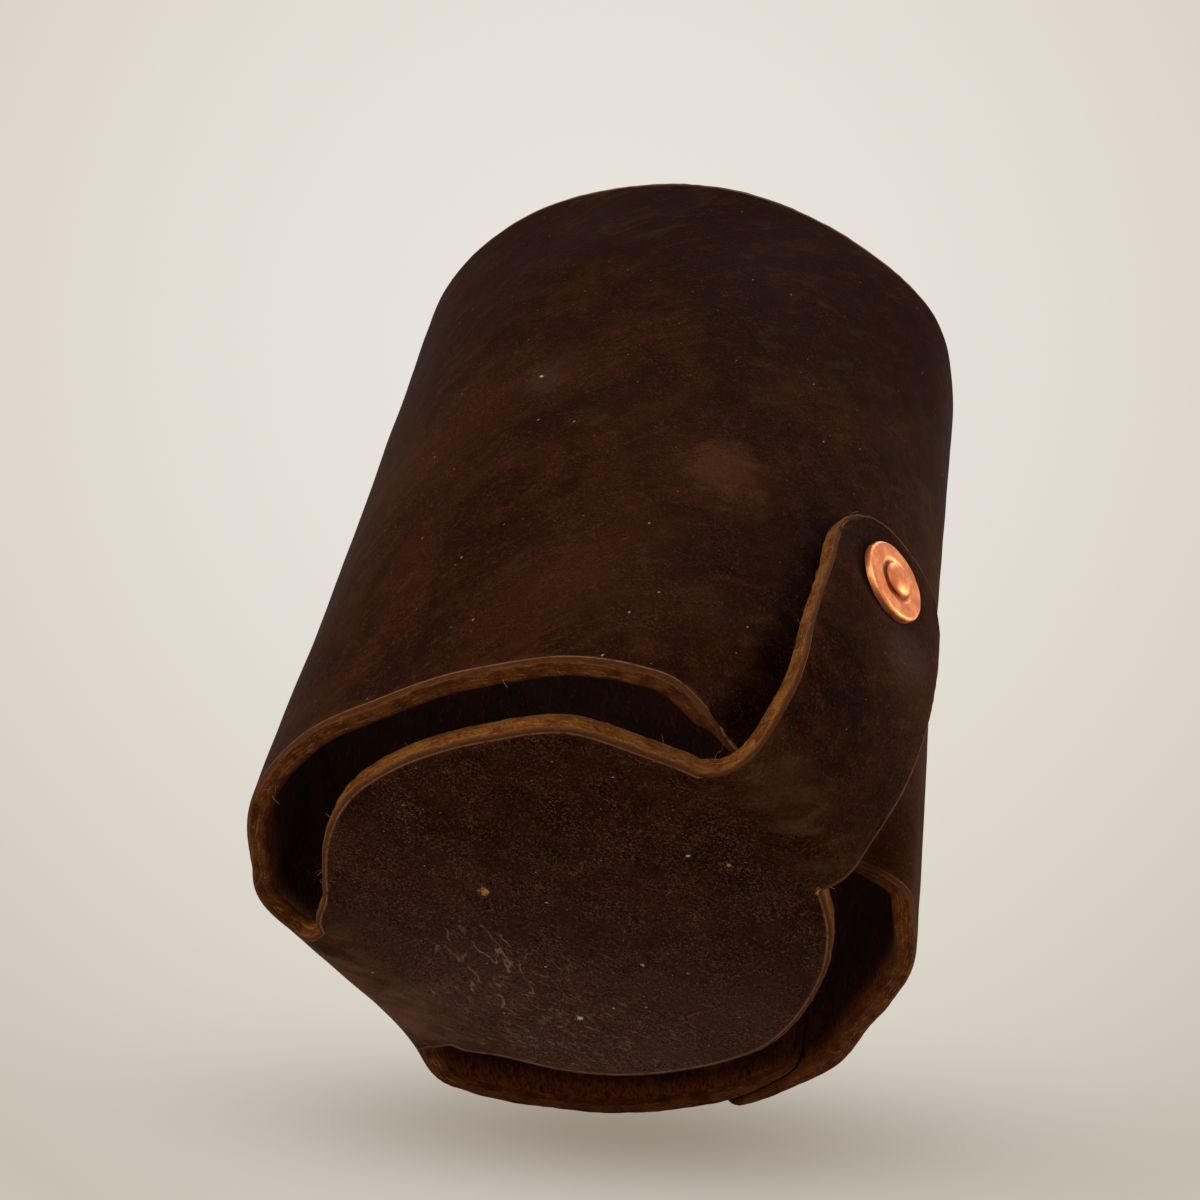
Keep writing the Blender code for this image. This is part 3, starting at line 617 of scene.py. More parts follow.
def strap_root(share):
    """The length where a column of the strap starts: on the base's rim, or at the fold."""
    def inside_rim(length):
        return math.hypot(strap_across(share, length), STRAP_FOLD + length) < BASE_RADIUS

    return min(0.0, halve(inside_rim, -BASE_RADIUS, BASE_RADIUS))


def strap_end(across):
    """The length at which the rounded strap ends."""
    corner = STRAP_LEFT_CORNER if across < 0.0 else STRAP_RIGHT_CORNER
    past = abs(across) - (STRAP_WIDTH * HALF - corner)
    if past <= 0.0:
        return STRAP_LENGTH
    return STRAP_LENGTH - corner + math.sqrt(max(0.0, corner ** 2 - past ** 2))


# The sleeve's middle surface

def thickness(turn):
    """The sleeve's thickness: it is pared down towards its two ends, where they lap."""
    away = min(turn, SLEEVE_TURN - turn) * MID_RADIUS
    return mix(SKIVED_END, LEATHER, min(1.0, max(0.0, away / OVERLAP)))


def seam_step(turn):
    """How far the outer layer's inner face stands out to clear the layer under it."""
    ramp_end = FULL_TURN - LEATHER / MID_RADIUS
    step = (SKIVED_END + LAYER_GAP) * smooth(turn, ramp_end - STEP_RAMP / MID_RADIUS, ramp_end)
    if turn > FULL_TURN:
        step += thickness(turn - FULL_TURN) - SKIVED_END
    return step


def sleeve_radius(turn, rise):
    """Radius of the sleeve's middle before the strap and the neck shape it."""
    azimuth = SLEEVE_START + turn
    below_top = SLEEVE_HEIGHT - rise
    radius = INNER_RADIUS + seam_step(turn) + thickness(turn) * HALF
    radius += wave_sum(BOTTOM_WAVES, azimuth) * hump(rise + EDGE_HEIGHT, 0.0, BOTTOM_WAVE_HEIGHT)
    radius += wave_sum(TOP_WAVES, azimuth) * hump(below_top, 0.0, TOP_WAVE_HEIGHT)
    return radius


def band_point(azimuth, across, radius, height, reach, roundness):
    """A point of the sleeve where a band flattens it and sets how far out its middle lies."""
    sideways, sag = bent(across * radius / MID_RADIUS, radius, roundness)
    return point_at(azimuth, reach - sag, sideways, height)


def pinched_point(across, radius, rise):
    """The sleeve under and beside the strap."""
    margin, fade, lift_fade = PINCH_RIGHT_MARGIN, PINCH_RIGHT_FADE, LIFT_RIGHT_FADE
    if across < 0.0:
        margin, fade, lift_fade = PINCH_LEFT_MARGIN, PINCH_LEFT_FADE, LIFT_LEFT_FADE
    past = abs(across) - STRAP_WIDTH * HALF - margin
    share = 1.0 - smooth(past, 0.0, fade)
    rightness = smooth(across, -STRAP_WIDTH * HALF, STRAP_WIDTH * HALF)
    lift = mix(PINCH_LEFT_LIFT, PINCH_RIGHT_LIFT, rightness)
    lift *= (1.0 - smooth(past, 0.0, lift_fade)) * max(0.0, 1.0 - rise / LIFT_HEIGHT) ** 2
    height = EDGE_HEIGHT + rise + lift
    pull = 0.0
    if height < UPRIGHT_HEIGHT:
        room = reach_under_strap(height) + strap_twist(across, height)
        pull = max(0.0, radius - room) * share
    roundness = mix(1.0, strap_roundness(height), share)
    return band_point(STRAP_ANGLE, across, radius, height, radius - pull, roundness)


def necked_point(across, radius, rise):
    """The sleeve above and beside the neck, where its lower edge curls in to the base."""
    fade = NECK_FADE if across > 0.0 else NECK_SEAM_FADE
    share = 1.0 - smooth(abs(across), NECK_WIDTH * HALF, NECK_WIDTH * HALF + fade)
    height = EDGE_HEIGHT + rise
    flatness = share * (1.0 - smooth(height, NECK_FLAT_LOW, NECK_FLAT_HIGH))
    reach = radius - (MID_RADIUS - NECK_REACH) * flatness
    point = band_point(NECK_ANGLE, across, radius, height, reach, 1.0 - flatness)
    below_top = NECK_TOP - height
    if below_top > 0.0:
        angle = below_top / NECK_BEND
        out, _ = frame_at(NECK_ANGLE)
        point -= out * (NECK_BEND * (1.0 - math.cos(angle)) * share)
        point.z = NECK_TOP - mix(below_top, NECK_BEND * math.sin(angle), share)
    return point


def sleeve_point(turn, rise):
    """The sleeve's middle surface, by the angle from its inner end and the rise from its edge."""
    azimuth = SLEEVE_START + turn
    radius = sleeve_radius(turn, rise)
    to_strap = wrap_angle(azimuth - STRAP_ANGLE) * MID_RADIUS
    to_neck = wrap_angle(azimuth - NECK_ANGLE) * MID_RADIUS
    if abs(to_strap) < PINCH_REACH:
        return pinched_point(to_strap, radius, rise)
    if abs(to_neck) < NECK_WIDTH * HALF + NECK_FADE:
        return necked_point(to_neck, radius, rise)
    return point_at(azimuth, radius, 0.0, EDGE_HEIGHT + rise)


def neck_point(across, along):
    """The neck's middle surface, by the leather's length past the sleeve's lower edge."""
    bend_length = NECK_TOP - EDGE_HEIGHT + along
    angle = min(bend_length / NECK_BEND, QUARTER_TURN)
    flat = max(0.0, bend_length - QUARTER_TURN * NECK_BEND)
    reach = NECK_REACH - NECK_BEND * (1.0 - math.cos(angle)) - flat
    return point_at(NECK_ANGLE, reach, across, NECK_TOP - NECK_BEND * math.sin(angle))


# The sheet: places of its middle surface, and the same spots on the flat cut piece

class Sheet:
    """An open surface of quads, with the flat pattern's coordinates at each point."""

    def __init__(self):
        self.points = []
        self.flats = []
        self.fullness = []
        self.faces = []

    def add(self, point, across, along, fullness=1.0):
        self.points.append(point)
        self.flats.append((across, along))
        self.fullness.append(fullness)
        return len(self.points) - 1

    def join(self, first, second):
        """Quads between two rows of points."""
        for near in range(len(first) - 1):
            self.faces.append((first[near], second[near], second[near + 1], first[near + 1]))


def shares(count):
    """Even places across a band, from -1 to 1."""
    return [index / count for index in range(-count, count + 1)]


def sleeve_turns():
    """Columns of the sleeve as angles from its inner end, and the number of the neck's first."""
    step = GRID / MID_RADIUS
    corner = CORNER_RADIUS / MID_RADIUS
    neck = [NECK_TURN + share * NECK_WIDTH * HALF / MID_RADIUS for share in shares(NECK_COLUMNS)]
    start = [place * MM / MID_RADIUS for place in CORNER_COLUMNS] + [corner]
    turns = start + spaced(corner, neck[0], step)
    neck_column = len(turns) - 1
    turns += neck[1:]
    turns += spaced(neck[-1], SLEEVE_TURN - corner, step)
    turns += [SLEEVE_TURN - turn for turn in reversed(start[:-1])]
    return turns, neck_column


def corner_inset(turn):
    """How far the rounded corners cut into the sleeve's height at its two ends."""
    away = min(turn, SLEEVE_TURN - turn) * MID_RADIUS
    if away >= CORNER_RADIUS:
        return 0.0
    return CORNER_RADIUS - math.sqrt(CORNER_RADIUS ** 2 - (CORNER_RADIUS - away) ** 2)


def add_sleeve(sheet):
    """The wrapped rectangle. Returns the points along the neck's top."""
    turns, neck_column = sleeve_turns()
    rises = [0.0] + spaced(0.0, SLEEVE_HEIGHT, GRID)
    columns = []
    for turn in turns:
        inset = corner_inset(turn)
        column = []
        for rise in rises:
            inner_rise = mix(inset, SLEEVE_HEIGHT - inset, rise / SLEEVE_HEIGHT)
            across = (turn - NECK_TURN) * MID_RADIUS
            point = sleeve_point(turn, inner_rise)
            column.append(sheet.add(point, across, inner_rise, thickness(turn) / LEATHER))
        columns.append(column)
    for first, second in zip(columns, columns[1:]):
        sheet.join(first, second)
    return [columns[neck_column + index][0] for index in range(2 * NECK_COLUMNS + 1)]


def rim_radius(angle):
    """Radius of the base's rim, which widens softly into the neck's two sides."""
    return BASE_RADIUS + wave_sum(BASE_WAVES, angle)


def add_neck(sheet, row):
    """The neck, from the sleeve's lower edge to the base. Returns its row on the base's rim."""
    for index in range(1, NECK_ROWS + 1):
        part = index / NECK_ROWS
        half_width = (NECK_WIDTH - NECK_WAIST * math.sin(math.pi * part)) * HALF
        next_row = []
        for share in shares(NECK_COLUMNS):
            sideways = share * NECK_WIDTH * HALF
            rim = rim_radius(math.acos(-sideways / BASE_RADIUS))
            rim_reach = math.sqrt(rim ** 2 - sideways ** 2)
            along = part * (NECK_CURL + NECK_FOLD - rim_reach)
            across = share * half_width
            next_row.append(sheet.add(neck_point(across, along), across, -along))
        sheet.join(row, next_row)
        row = next_row
    return row


def strap_lengths():
    """Rows of the strap past its fold, closer together in the bend and at the round end."""
    rows = spaced(0.0, BEND_END, BEND_STEP)
    rows += spaced(BEND_END, LAY_END, GRID)
    rows += spaced(LAY_END, STRAP_LENGTH, BEND_STEP)
    return rows


def add_strap(sheet):
    """The strap, from the base's rim up to its rounded end. Returns its row on the rim."""
    places = shares(STRAP_COLUMNS)
    roots = [strap_root(share) for share in places]
    first, *further = strap_lengths()
    length_rows = []
    for index in range(ROOT_ROWS + 1):
        length_rows.append([mix(root, first, index / ROOT_ROWS) for root in roots])
    for length in further:
        end_share = smooth(length, LAY_END, STRAP_LENGTH)
        overs = [STRAP_LENGTH - strap_end(share * STRAP_WIDTH * HALF) for share in places]
        length_rows.append([length - over * end_share for over in overs])

    rows = []
    for lengths in length_rows:
        row = []
        for share, length in zip(places, lengths):
            across = strap_across(share, length)
            along = -(NECK_CURL + NECK_FOLD + STRAP_FOLD + length)
            row.append(sheet.add(strap_point(across, length), -across, along))
        rows.append(row)
    for lower, upper in zip(rows, rows[1:]):
        sheet.join(upper, lower)
    return rows[0]


def add_base(sheet, neck_row, strap_row):
    """The round base, as rings inside the rim that it shares with the neck and the strap."""
    def rim_angle(index):
        return math.atan2(sheet.points[index].y, sheet.points[index].x)

    def add_flat(x, y):
        return sheet.add(Vector((x, y, BASE_MID)), -x, y - NECK_FOLD - NECK_CURL)

    rim = []
    for row, following in ((neck_row, strap_row), (strap_row, neck_row)):
        rim += row
        start = rim_angle(row[-1])
        span = (rim_angle(following[0]) - start) % FULL_TURN
        for angle in spaced(start, start + span, GRID / BASE_RADIUS)[:-1]:
            radius = rim_radius(angle)
            rim.append(add_flat(radius * math.cos(angle), radius * math.sin(angle)))
    ring = rim
    for index in range(BASE_RINGS - 1, 0, -1):
        size = index / BASE_RINGS
        inner = [add_flat(sheet.points[spot].x * size, sheet.points[spot].y * size) for spot in rim]
        sheet.join(ring + ring[:1], inner + inner[:1])
        ring = inner
    centre = add_flat(0.0, 0.0)
    for here, there in zip(ring, ring[1:] + ring[:1]):
        sheet.faces.append((there, here, centre))


def lay_out_sheet():
    """The whole cut piece, folded into shape."""
    sheet = Sheet()
    neck_row = add_neck(sheet, add_sleeve(sheet))
    strap_row = add_strap(sheet)
    add_base(sheet, neck_row, strap_row)
    return sheet


# From the sheet to a solid piece of leather

def sheet_normals(sheet):
    """Normals of the middle surface, pointing to the leather's grain side."""
    mesh = bpy.data.meshes.new("sheet")
    mesh.from_pydata(sheet.points, [], sheet.faces)
    mesh.update()
    normals = [vertex.normal.copy() for vertex in mesh.vertices]
    bpy.data.meshes.remove(mesh)
    return normals


def cut_loop(faces):
    """The points of the sheet's one free edge, in order, with the sheet on their left."""
    sides = set()
    for face in faces:
        for here, there in zip(face, face[1:] + face[:1]):
            sides.add((here, there))
    following = {here: there for here, there in sides if (there, here) not in sides}
    start = min(following)
    loop = [start]
    while following[loop[-1]] != start:
        loop.append(following[loop[-1]])
    return loop


def edge_directions(sheet, loop, normals):
    """At each point of the free edge, the direction in the sheet that leads off it."""
    directions = {}
    for before, here, after in zip(loop[-1:] + loop[:-1], loop, loop[1:] + loop[:1]):
        run = sheet.points[after] - sheet.points[before]
        directions[here] = run.cross(normals[here]).normalized()
    return directions


def uneven(point, length):
    """Soft noise between -1 and 1 at a point, by the length of its swells."""
    return noise.noise(point / length)


def edge_profile():
    """The cut edge's section from the grain side to the flesh side: offset outwards, height."""
    half = LEATHER * HALF
    centre = half - EDGE_ROUNDING
    corner = []
    for index in range(ROUNDING_STEPS + 1):
        angle = QUARTER_TURN * (1.0 - index / ROUNDING_STEPS)
        outward = EDGE_ROUNDING * (math.cos(angle) - 1.0)
        corner.append((outward, centre + EDGE_ROUNDING * math.sin(angle)))
    straight = [(0.0, height) for height in spaced(centre, -centre, -2.0 * centre / EDGE_STEPS)[:-1]]
    return corner + straight + [(outward, -height) for outward, height in reversed(corner)]


def bend_wear(across, along):
    """How far the leather is bent sharply, at a spot of the flat piece: at the neck and the fold."""
    at_neck = hump(along, -NECK_CURL * HALF, NECK_WEAR) if abs(across) < NECK_WIDTH * HALF else 0.0
    at_fold = hump(along, -(NECK_CURL + NECK_FOLD + STRAP_FOLD + BEND_END * HALF), FOLD_WEAR)
    return max(at_neck, at_fold * FOLD_SHARE)


class Solid:
    """The growing mesh of the leather, with what its materials need to know at each point."""

    def __init__(self):
        self.points = []
        self.flats = []
        self.depths = []
        self.rims = []
        self.bends = []
        self.cuts = []
        self.faces = []
        self.materials = []

    def add(self, point, flat, height, rim):
        self.points.append(point)
        self.flats.append((*flat, height))
        self.depths.append(height / (LEATHER * HALF))
        self.rims.append(rim / MM)
        self.bends.append(bend_wear(*flat))
        return len(self.points) - 1

    def face(self, corners, material):
        self.faces.append(corners)
        self.materials.append(material)


GRAIN, FLESH, CUT = range(3)


def thicken(sheet):
    """The sheet's two faces and its cut edge."""
    normals = sheet_normals(sheet)
    loop = cut_loop(sheet.faces)
    directions = edge_directions(sheet, loop, normals)
    tree = kdtree.KDTree(len(loop))
    for index in loop:
        tree.insert(sheet.points[index], index)
    tree.balance()

    places = []
    for point, normal, flat in zip(sheet.points, normals, sheet.flats):
        spot = Vector((*flat, 0.0))
        lift = sum(height * uneven(spot, length) for height, length in SWELLS)
        places.append(point + normal * lift)
    for index in loop:
        wobble = HAND_CUT * uneven(sheet.points[index], HAND_CUT_LENGTH)
        places[index] += directions[index] * wobble

    solid = Solid()
    half = LEATHER * HALF
    layers = []
    for height in (half, -half):
        layer = []
        for index, (place, normal, flat) in enumerate(zip(places, normals, sheet.flats)):
            point = place + normal * (height * sheet.fullness[index])
            if index in directions:
                point -= directions[index] * EDGE_ROUNDING
            rim = tree.find(sheet.points[index])[2]
            layer.append(solid.add(point, flat, height, rim))
        layers.append(layer)
    grain, flesh = layers
    for face in sheet.faces:
        solid.face([grain[index] for index in face], GRAIN)
        solid.face([flesh[index] for index in reversed(face)], FLESH)

    profile = edge_profile()[1:-1]
    rows = []
    for index in loop:
        solid.cuts.append((places[index], directions[index], normals[index]))
        row = [grain[index]]
        for outward, height in profile:
            point = places[index] + normals[index] * (height * sheet.fullness[index])
            rough = RAGGED * uneven(point, RAGGED_LENGTH)
            point += directions[index] * (outward + rough)
            row.append(solid.add(point, sheet.flats[index], height, 0.0))
        row.append(flesh[index])
        rows.append(row)
    for here, there in zip(rows, rows[1:] + rows[:1]):
        for near in range(len(here) - 1):
            solid.face((here[near], here[near + 1], there[near + 1], there[near]), CUT)
    return solid


# Rivets: where they sit, and how they press the leather

class Place:
    """One rivet's azimuth and height, and how far out its head and its burr lie."""

    def __init__(self, label, azimuth, height, face):
        self.label = label
        self.height = height
        self.face = face
        self.out, self.side = frame_at(math.radians(azimuth))
        self.head_reach = INNER_RADIUS + HEAD_SINK
        self.burr_reach = face - BURR_SINK

    def aside(self, point):
        """Distance of a point from the rivet's line, and how far out it is on a round wall."""
        sideways = point.dot(self.side)
        reach = point.dot(self.out)
        away = math.hypot(sideways, point.z - self.height)
        return away, reach + sideways ** 2 * HALF / MID_RADIUS

    def matrix(self, reach):
        """Places a turned piece with its own +Z pointing out from the can's axis."""
        turn = Matrix((-UP, self.side, self.out)).transposed()
        return Matrix.Translation(self.out * reach + UP * self.height) @ turn.to_4x4()


def rivet_places():
    """The strap's rivet and the seam's rivets."""
    places = [Place("strap", STRAP_RIVET_AZIMUTH, STRAP_RIVET_HEIGHT, STRAP_MID + LEATHER * HALF)]
    lowest = EDGE_HEIGHT + SEAM_RIVET_MARGIN
    highest = EDGE_HEIGHT + SLEEVE_HEIGHT - SEAM_RIVET_MARGIN
    for index in range(SEAM_RIVETS):
        height = mix(lowest, highest, index / (SEAM_RIVETS - 1))
        places.append(Place("seam_%d" % (index + 1), SEAM_AZIMUTH, height, SEAM_FACE))
    return places


def press(solid, place):
    """The leather dented under a burr outside, and under the head inside."""
    for point in solid.points:
        away, reach = place.aside(point)
        if away > DENT_RADIUS:
            continue
        share = 1.0 - smooth(away, DENT_FLOOR, DENT_RADIUS)
        if abs(reach - place.face) < FACE_MARGIN:
            point -= place.out * (BURR_DENT * share)
        elif abs(reach - INNER_RADIUS) < FACE_MARGIN:
            point += place.out * (HEAD_DENT * share)


def add_attribute(mesh, name, kind, field, values):
    """A named value for each point of the mesh, for its materials to read."""
    attribute = mesh.attributes.new(name, kind, "POINT")
    attribute.data.foreach_set(field, values)


def show(name, mesh, materials):
    """A new object in the scene that shows a mesh, with smooth shading."""
    for material in materials:
        mesh.materials.append(material)
    mesh.shade_smooth()
    piece = bpy.data.objects.new(name, mesh)
    bpy.context.scene.collection.objects.link(piece)
    return piece


def add_leather(solid, materials):
    """The whole leather, in place of the plain solid."""
    mesh = bpy.data.meshes.new("leather")
    mesh.from_pydata(solid.points, [], solid.faces)
    mesh.polygons.foreach_set("material_index", solid.materials)
    flats = [value / MM for flat in solid.flats for value in flat]
    add_attribute(mesh, "flat", "FLOAT_VECTOR", "vector", flats)
    add_attribute(mesh, "depth", "FLOAT", "value", solid.depths)
    add_attribute(mesh, "rim", "FLOAT", "value", solid.rims)
    add_attribute(mesh, "bend", "FLOAT", "value", solid.bends)
    mesh.update()
    leather = show("leather", mesh, materials)
    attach(leather, "root")
    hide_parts("leather_body")


def skin(bm, first, second):
    """Faces between two rings of vertices: a ring of one point makes triangles, not quads."""
    count = max(len(first), len(second))
    for index in range(count):
        after = (index + 1) % count
        here, there = first[index % len(first)], first[after % len(first)]
        beside, beyond = second[index % len(second)], second[after % len(second)]
        bm.faces.new(list(dict.fromkeys((here, there, beyond, beside))))


# Loose fibres that stand out of the cut edge

def hair_route(draw, start, outward, aside, normal):
    """A short curling line that starts at the cut edge."""
    length = draw.uniform(*HAIR_LENGTH)
    heading = outward + aside * draw.uniform(-HAIR_ASIDE, HAIR_ASIDE)
    heading = (heading + normal * draw.uniform(-HAIR_RAISED, HAIR_RAISED)).normalized()
    curl = Vector([draw.uniform(-HAIR_CURL, HAIR_CURL) for _ in range(3)])
    points = [start - outward * HAIR_ROOT]
    for _ in range(HAIR_STEPS):
        points.append(points[-1] + heading * (length / HAIR_STEPS))
        heading = (heading + curl).normalized()
    return points


def add_hairs(solid, material):
    """Thin tapering fibres at random spots of the cut edge, the same ones in each run."""
    draw = random.Random(HAIR_SEED)
    bm = bmesh.new()
    for _ in range(HAIR_COUNT):
        start, outward, normal = draw.choice(solid.cuts)
        aside = outward.cross(normal)
        start = start + normal * draw.uniform(-HAIR_SPREAD, HAIR_SPREAD)
        route = hair_route(draw, start, outward, aside, normal)
        rings = []
        for index, (here, there) in enumerate(zip(route, route[1:])):
            heading = (there - here).normalized()
            sideways = heading.orthogonal().normalized()
            across = heading.cross(sideways)
            radius = mix(HAIR_RADIUS, HAIR_TIP, index / HAIR_STEPS)
            ring = []
            for corner in range(HAIR_SIDES):
                angle = FULL_TURN * corner / HAIR_SIDES
                spoke = sideways * math.cos(angle) + across * math.sin(angle)
                ring.append(bm.verts.new(here + spoke * radius))
            rings.append(ring)
        rings.append([bm.verts.new(route[-1])])
        bm.faces.new(list(reversed(rings[0])))
        for near, far in zip(rings, rings[1:]):
            skin(bm, near, far)
    mesh = bpy.data.meshes.new("loose_fibres")
    bm.to_mesh(mesh)
    bm.free()
    hairs = show("loose_fibres", mesh, [material])
    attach(hairs, "root")


# Copper: profiles of radius and height, from the axis or a hole round to it again

def arc(centre, height, radius, start, end):
    """Points of a round corner, by angles from the outward direction."""
    points = []
    for index in range(ARC_STEPS + 1):
        angle = math.radians(mix(start, end, index / ARC_STEPS))
        points.append((centre + radius * math.cos(angle), height + radius * math.sin(angle)))
    return points


def rivet_profile(seat):
    """A rivet with its head's flat top at zero, and a hammered dome on the burr's dish."""
    flat = HEAD_DIAMETER * HALF - HEAD_ROUNDING
    shank = SHANK_DIAMETER * HALF
    dome = DOME_DIAMETER * HALF
    points = [(0.0, seat + DOME_HEIGHT)]
    for index in range(1, DOME_STEPS + 1):
        angle = QUARTER_TURN * index / DOME_STEPS
        points.append((dome * math.sin(angle) ** DOME_FLATNESS, seat + DOME_HEIGHT * math.cos(angle)))
    points += [(shank, seat), (shank, 0.0)]
    points += arc(flat, -HEAD_ROUNDING, HEAD_ROUNDING, 90.0, 0.0)
    points += arc(flat, HEAD_ROUNDING - HEAD_THICKNESS, HEAD_ROUNDING, 0.0, -90.0)
    for index in range(1, HEAD_RINGS + 1):
        points.append((flat * (1.0 - index / HEAD_RINGS), -HEAD_THICKNESS))
    return points


def burr_profile():
    """A washer with a round outer edge and a shallow dish round its hole, as a closed loop."""
    outer = BURR_DIAMETER * HALF
    hole = SHANK_DIAMETER * HALF + METAL_GAP
    dish = DOME_DIAMETER * HALF + DISH_MARGIN
    low = BURR_THICKNESS - DISH_DEPTH
    points = [(hole, 0.0), (hole, low), (dish, low)]
    for index in range(1, ARC_STEPS + 1):
        share = index / ARC_STEPS
        points.append((dish + DISH_RAMP * share, low + DISH_DEPTH * smooth(share, 0.0, 1.0)))
    points += arc(outer - BURR_ROUNDING, BURR_THICKNESS - BURR_ROUNDING, BURR_ROUNDING, 90.0, 0.0)
    points += [(outer, 0.0), (hole, 0.0)]
    return points


def hammered(point, seed):
    """How far hammer blows and handling have moved the metal at a point."""
    spot = point / HAMMER_LENGTH + Vector((seed, 0.0, 0.0))
    return HAMMER_DEPTH * noise.noise(spot)


def turned_mesh(name, profile, seed):
    """A profile swept once round its axis, with a little unevenness."""
    closed = profile[0] == profile[-1]
    rows = profile[:-1] if closed else profile
    bm = bmesh.new()
    rings = []
    for radius, height in rows:
        ring = []
        for index in range(TURN_STEPS):
            angle = FULL_TURN * index / TURN_STEPS
            point = Vector((radius * math.cos(angle), radius * math.sin(angle), height))
            point.z += hammered(point, seed)
            ring.append(bm.verts.new(point))
            if radius == 0.0:
                break
        rings.append(ring)
    if closed:
        rings.append(rings[0])
    for inner, outer in zip(rings, rings[1:]):
        skin(bm, inner, outer)
    bmesh.ops.recalc_face_normals(bm, faces=bm.faces)
    mesh = bpy.data.meshes.new(name)
    bm.to_mesh(mesh)
    bm.free()
    return mesh


def add_copper(place, seed, material):
    """One rivet and its burr, in place of the plainer turned solids."""
    seat = place.burr_reach + BURR_THICKNESS - DISH_DEPTH + METAL_GAP - place.head_reach
    rivet = ("rivet", rivet_profile(seat), seed, place.head_reach)
    burr = ("burr", burr_profile(), seed + SEED_STEP, place.burr_reach)
    for kind, profile, shift, reach in (rivet, burr):
        mesh = turned_mesh("%s_%s" % (place.label, kind), profile, shift)
        radii = [math.hypot(vertex.co.x, vertex.co.y) / MM for vertex in mesh.vertices]
        add_attribute(mesh, "radius", "FLOAT", "value", radii)
        spots = [value / MM for vertex in mesh.vertices for value in vertex.co]
        add_attribute(mesh, "turned", "FLOAT_VECTOR", "vector", spots)
        mesh.transform(place.matrix(reach))
        piece = show("copper_%s_%s" % (place.label, kind), mesh, [material])
        piece.data.set_sharp_from_angle(angle=math.radians(COPPER_SHARP))
        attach(piece, "root")
        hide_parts("%s_%s" % (place.label, kind))


# Materials

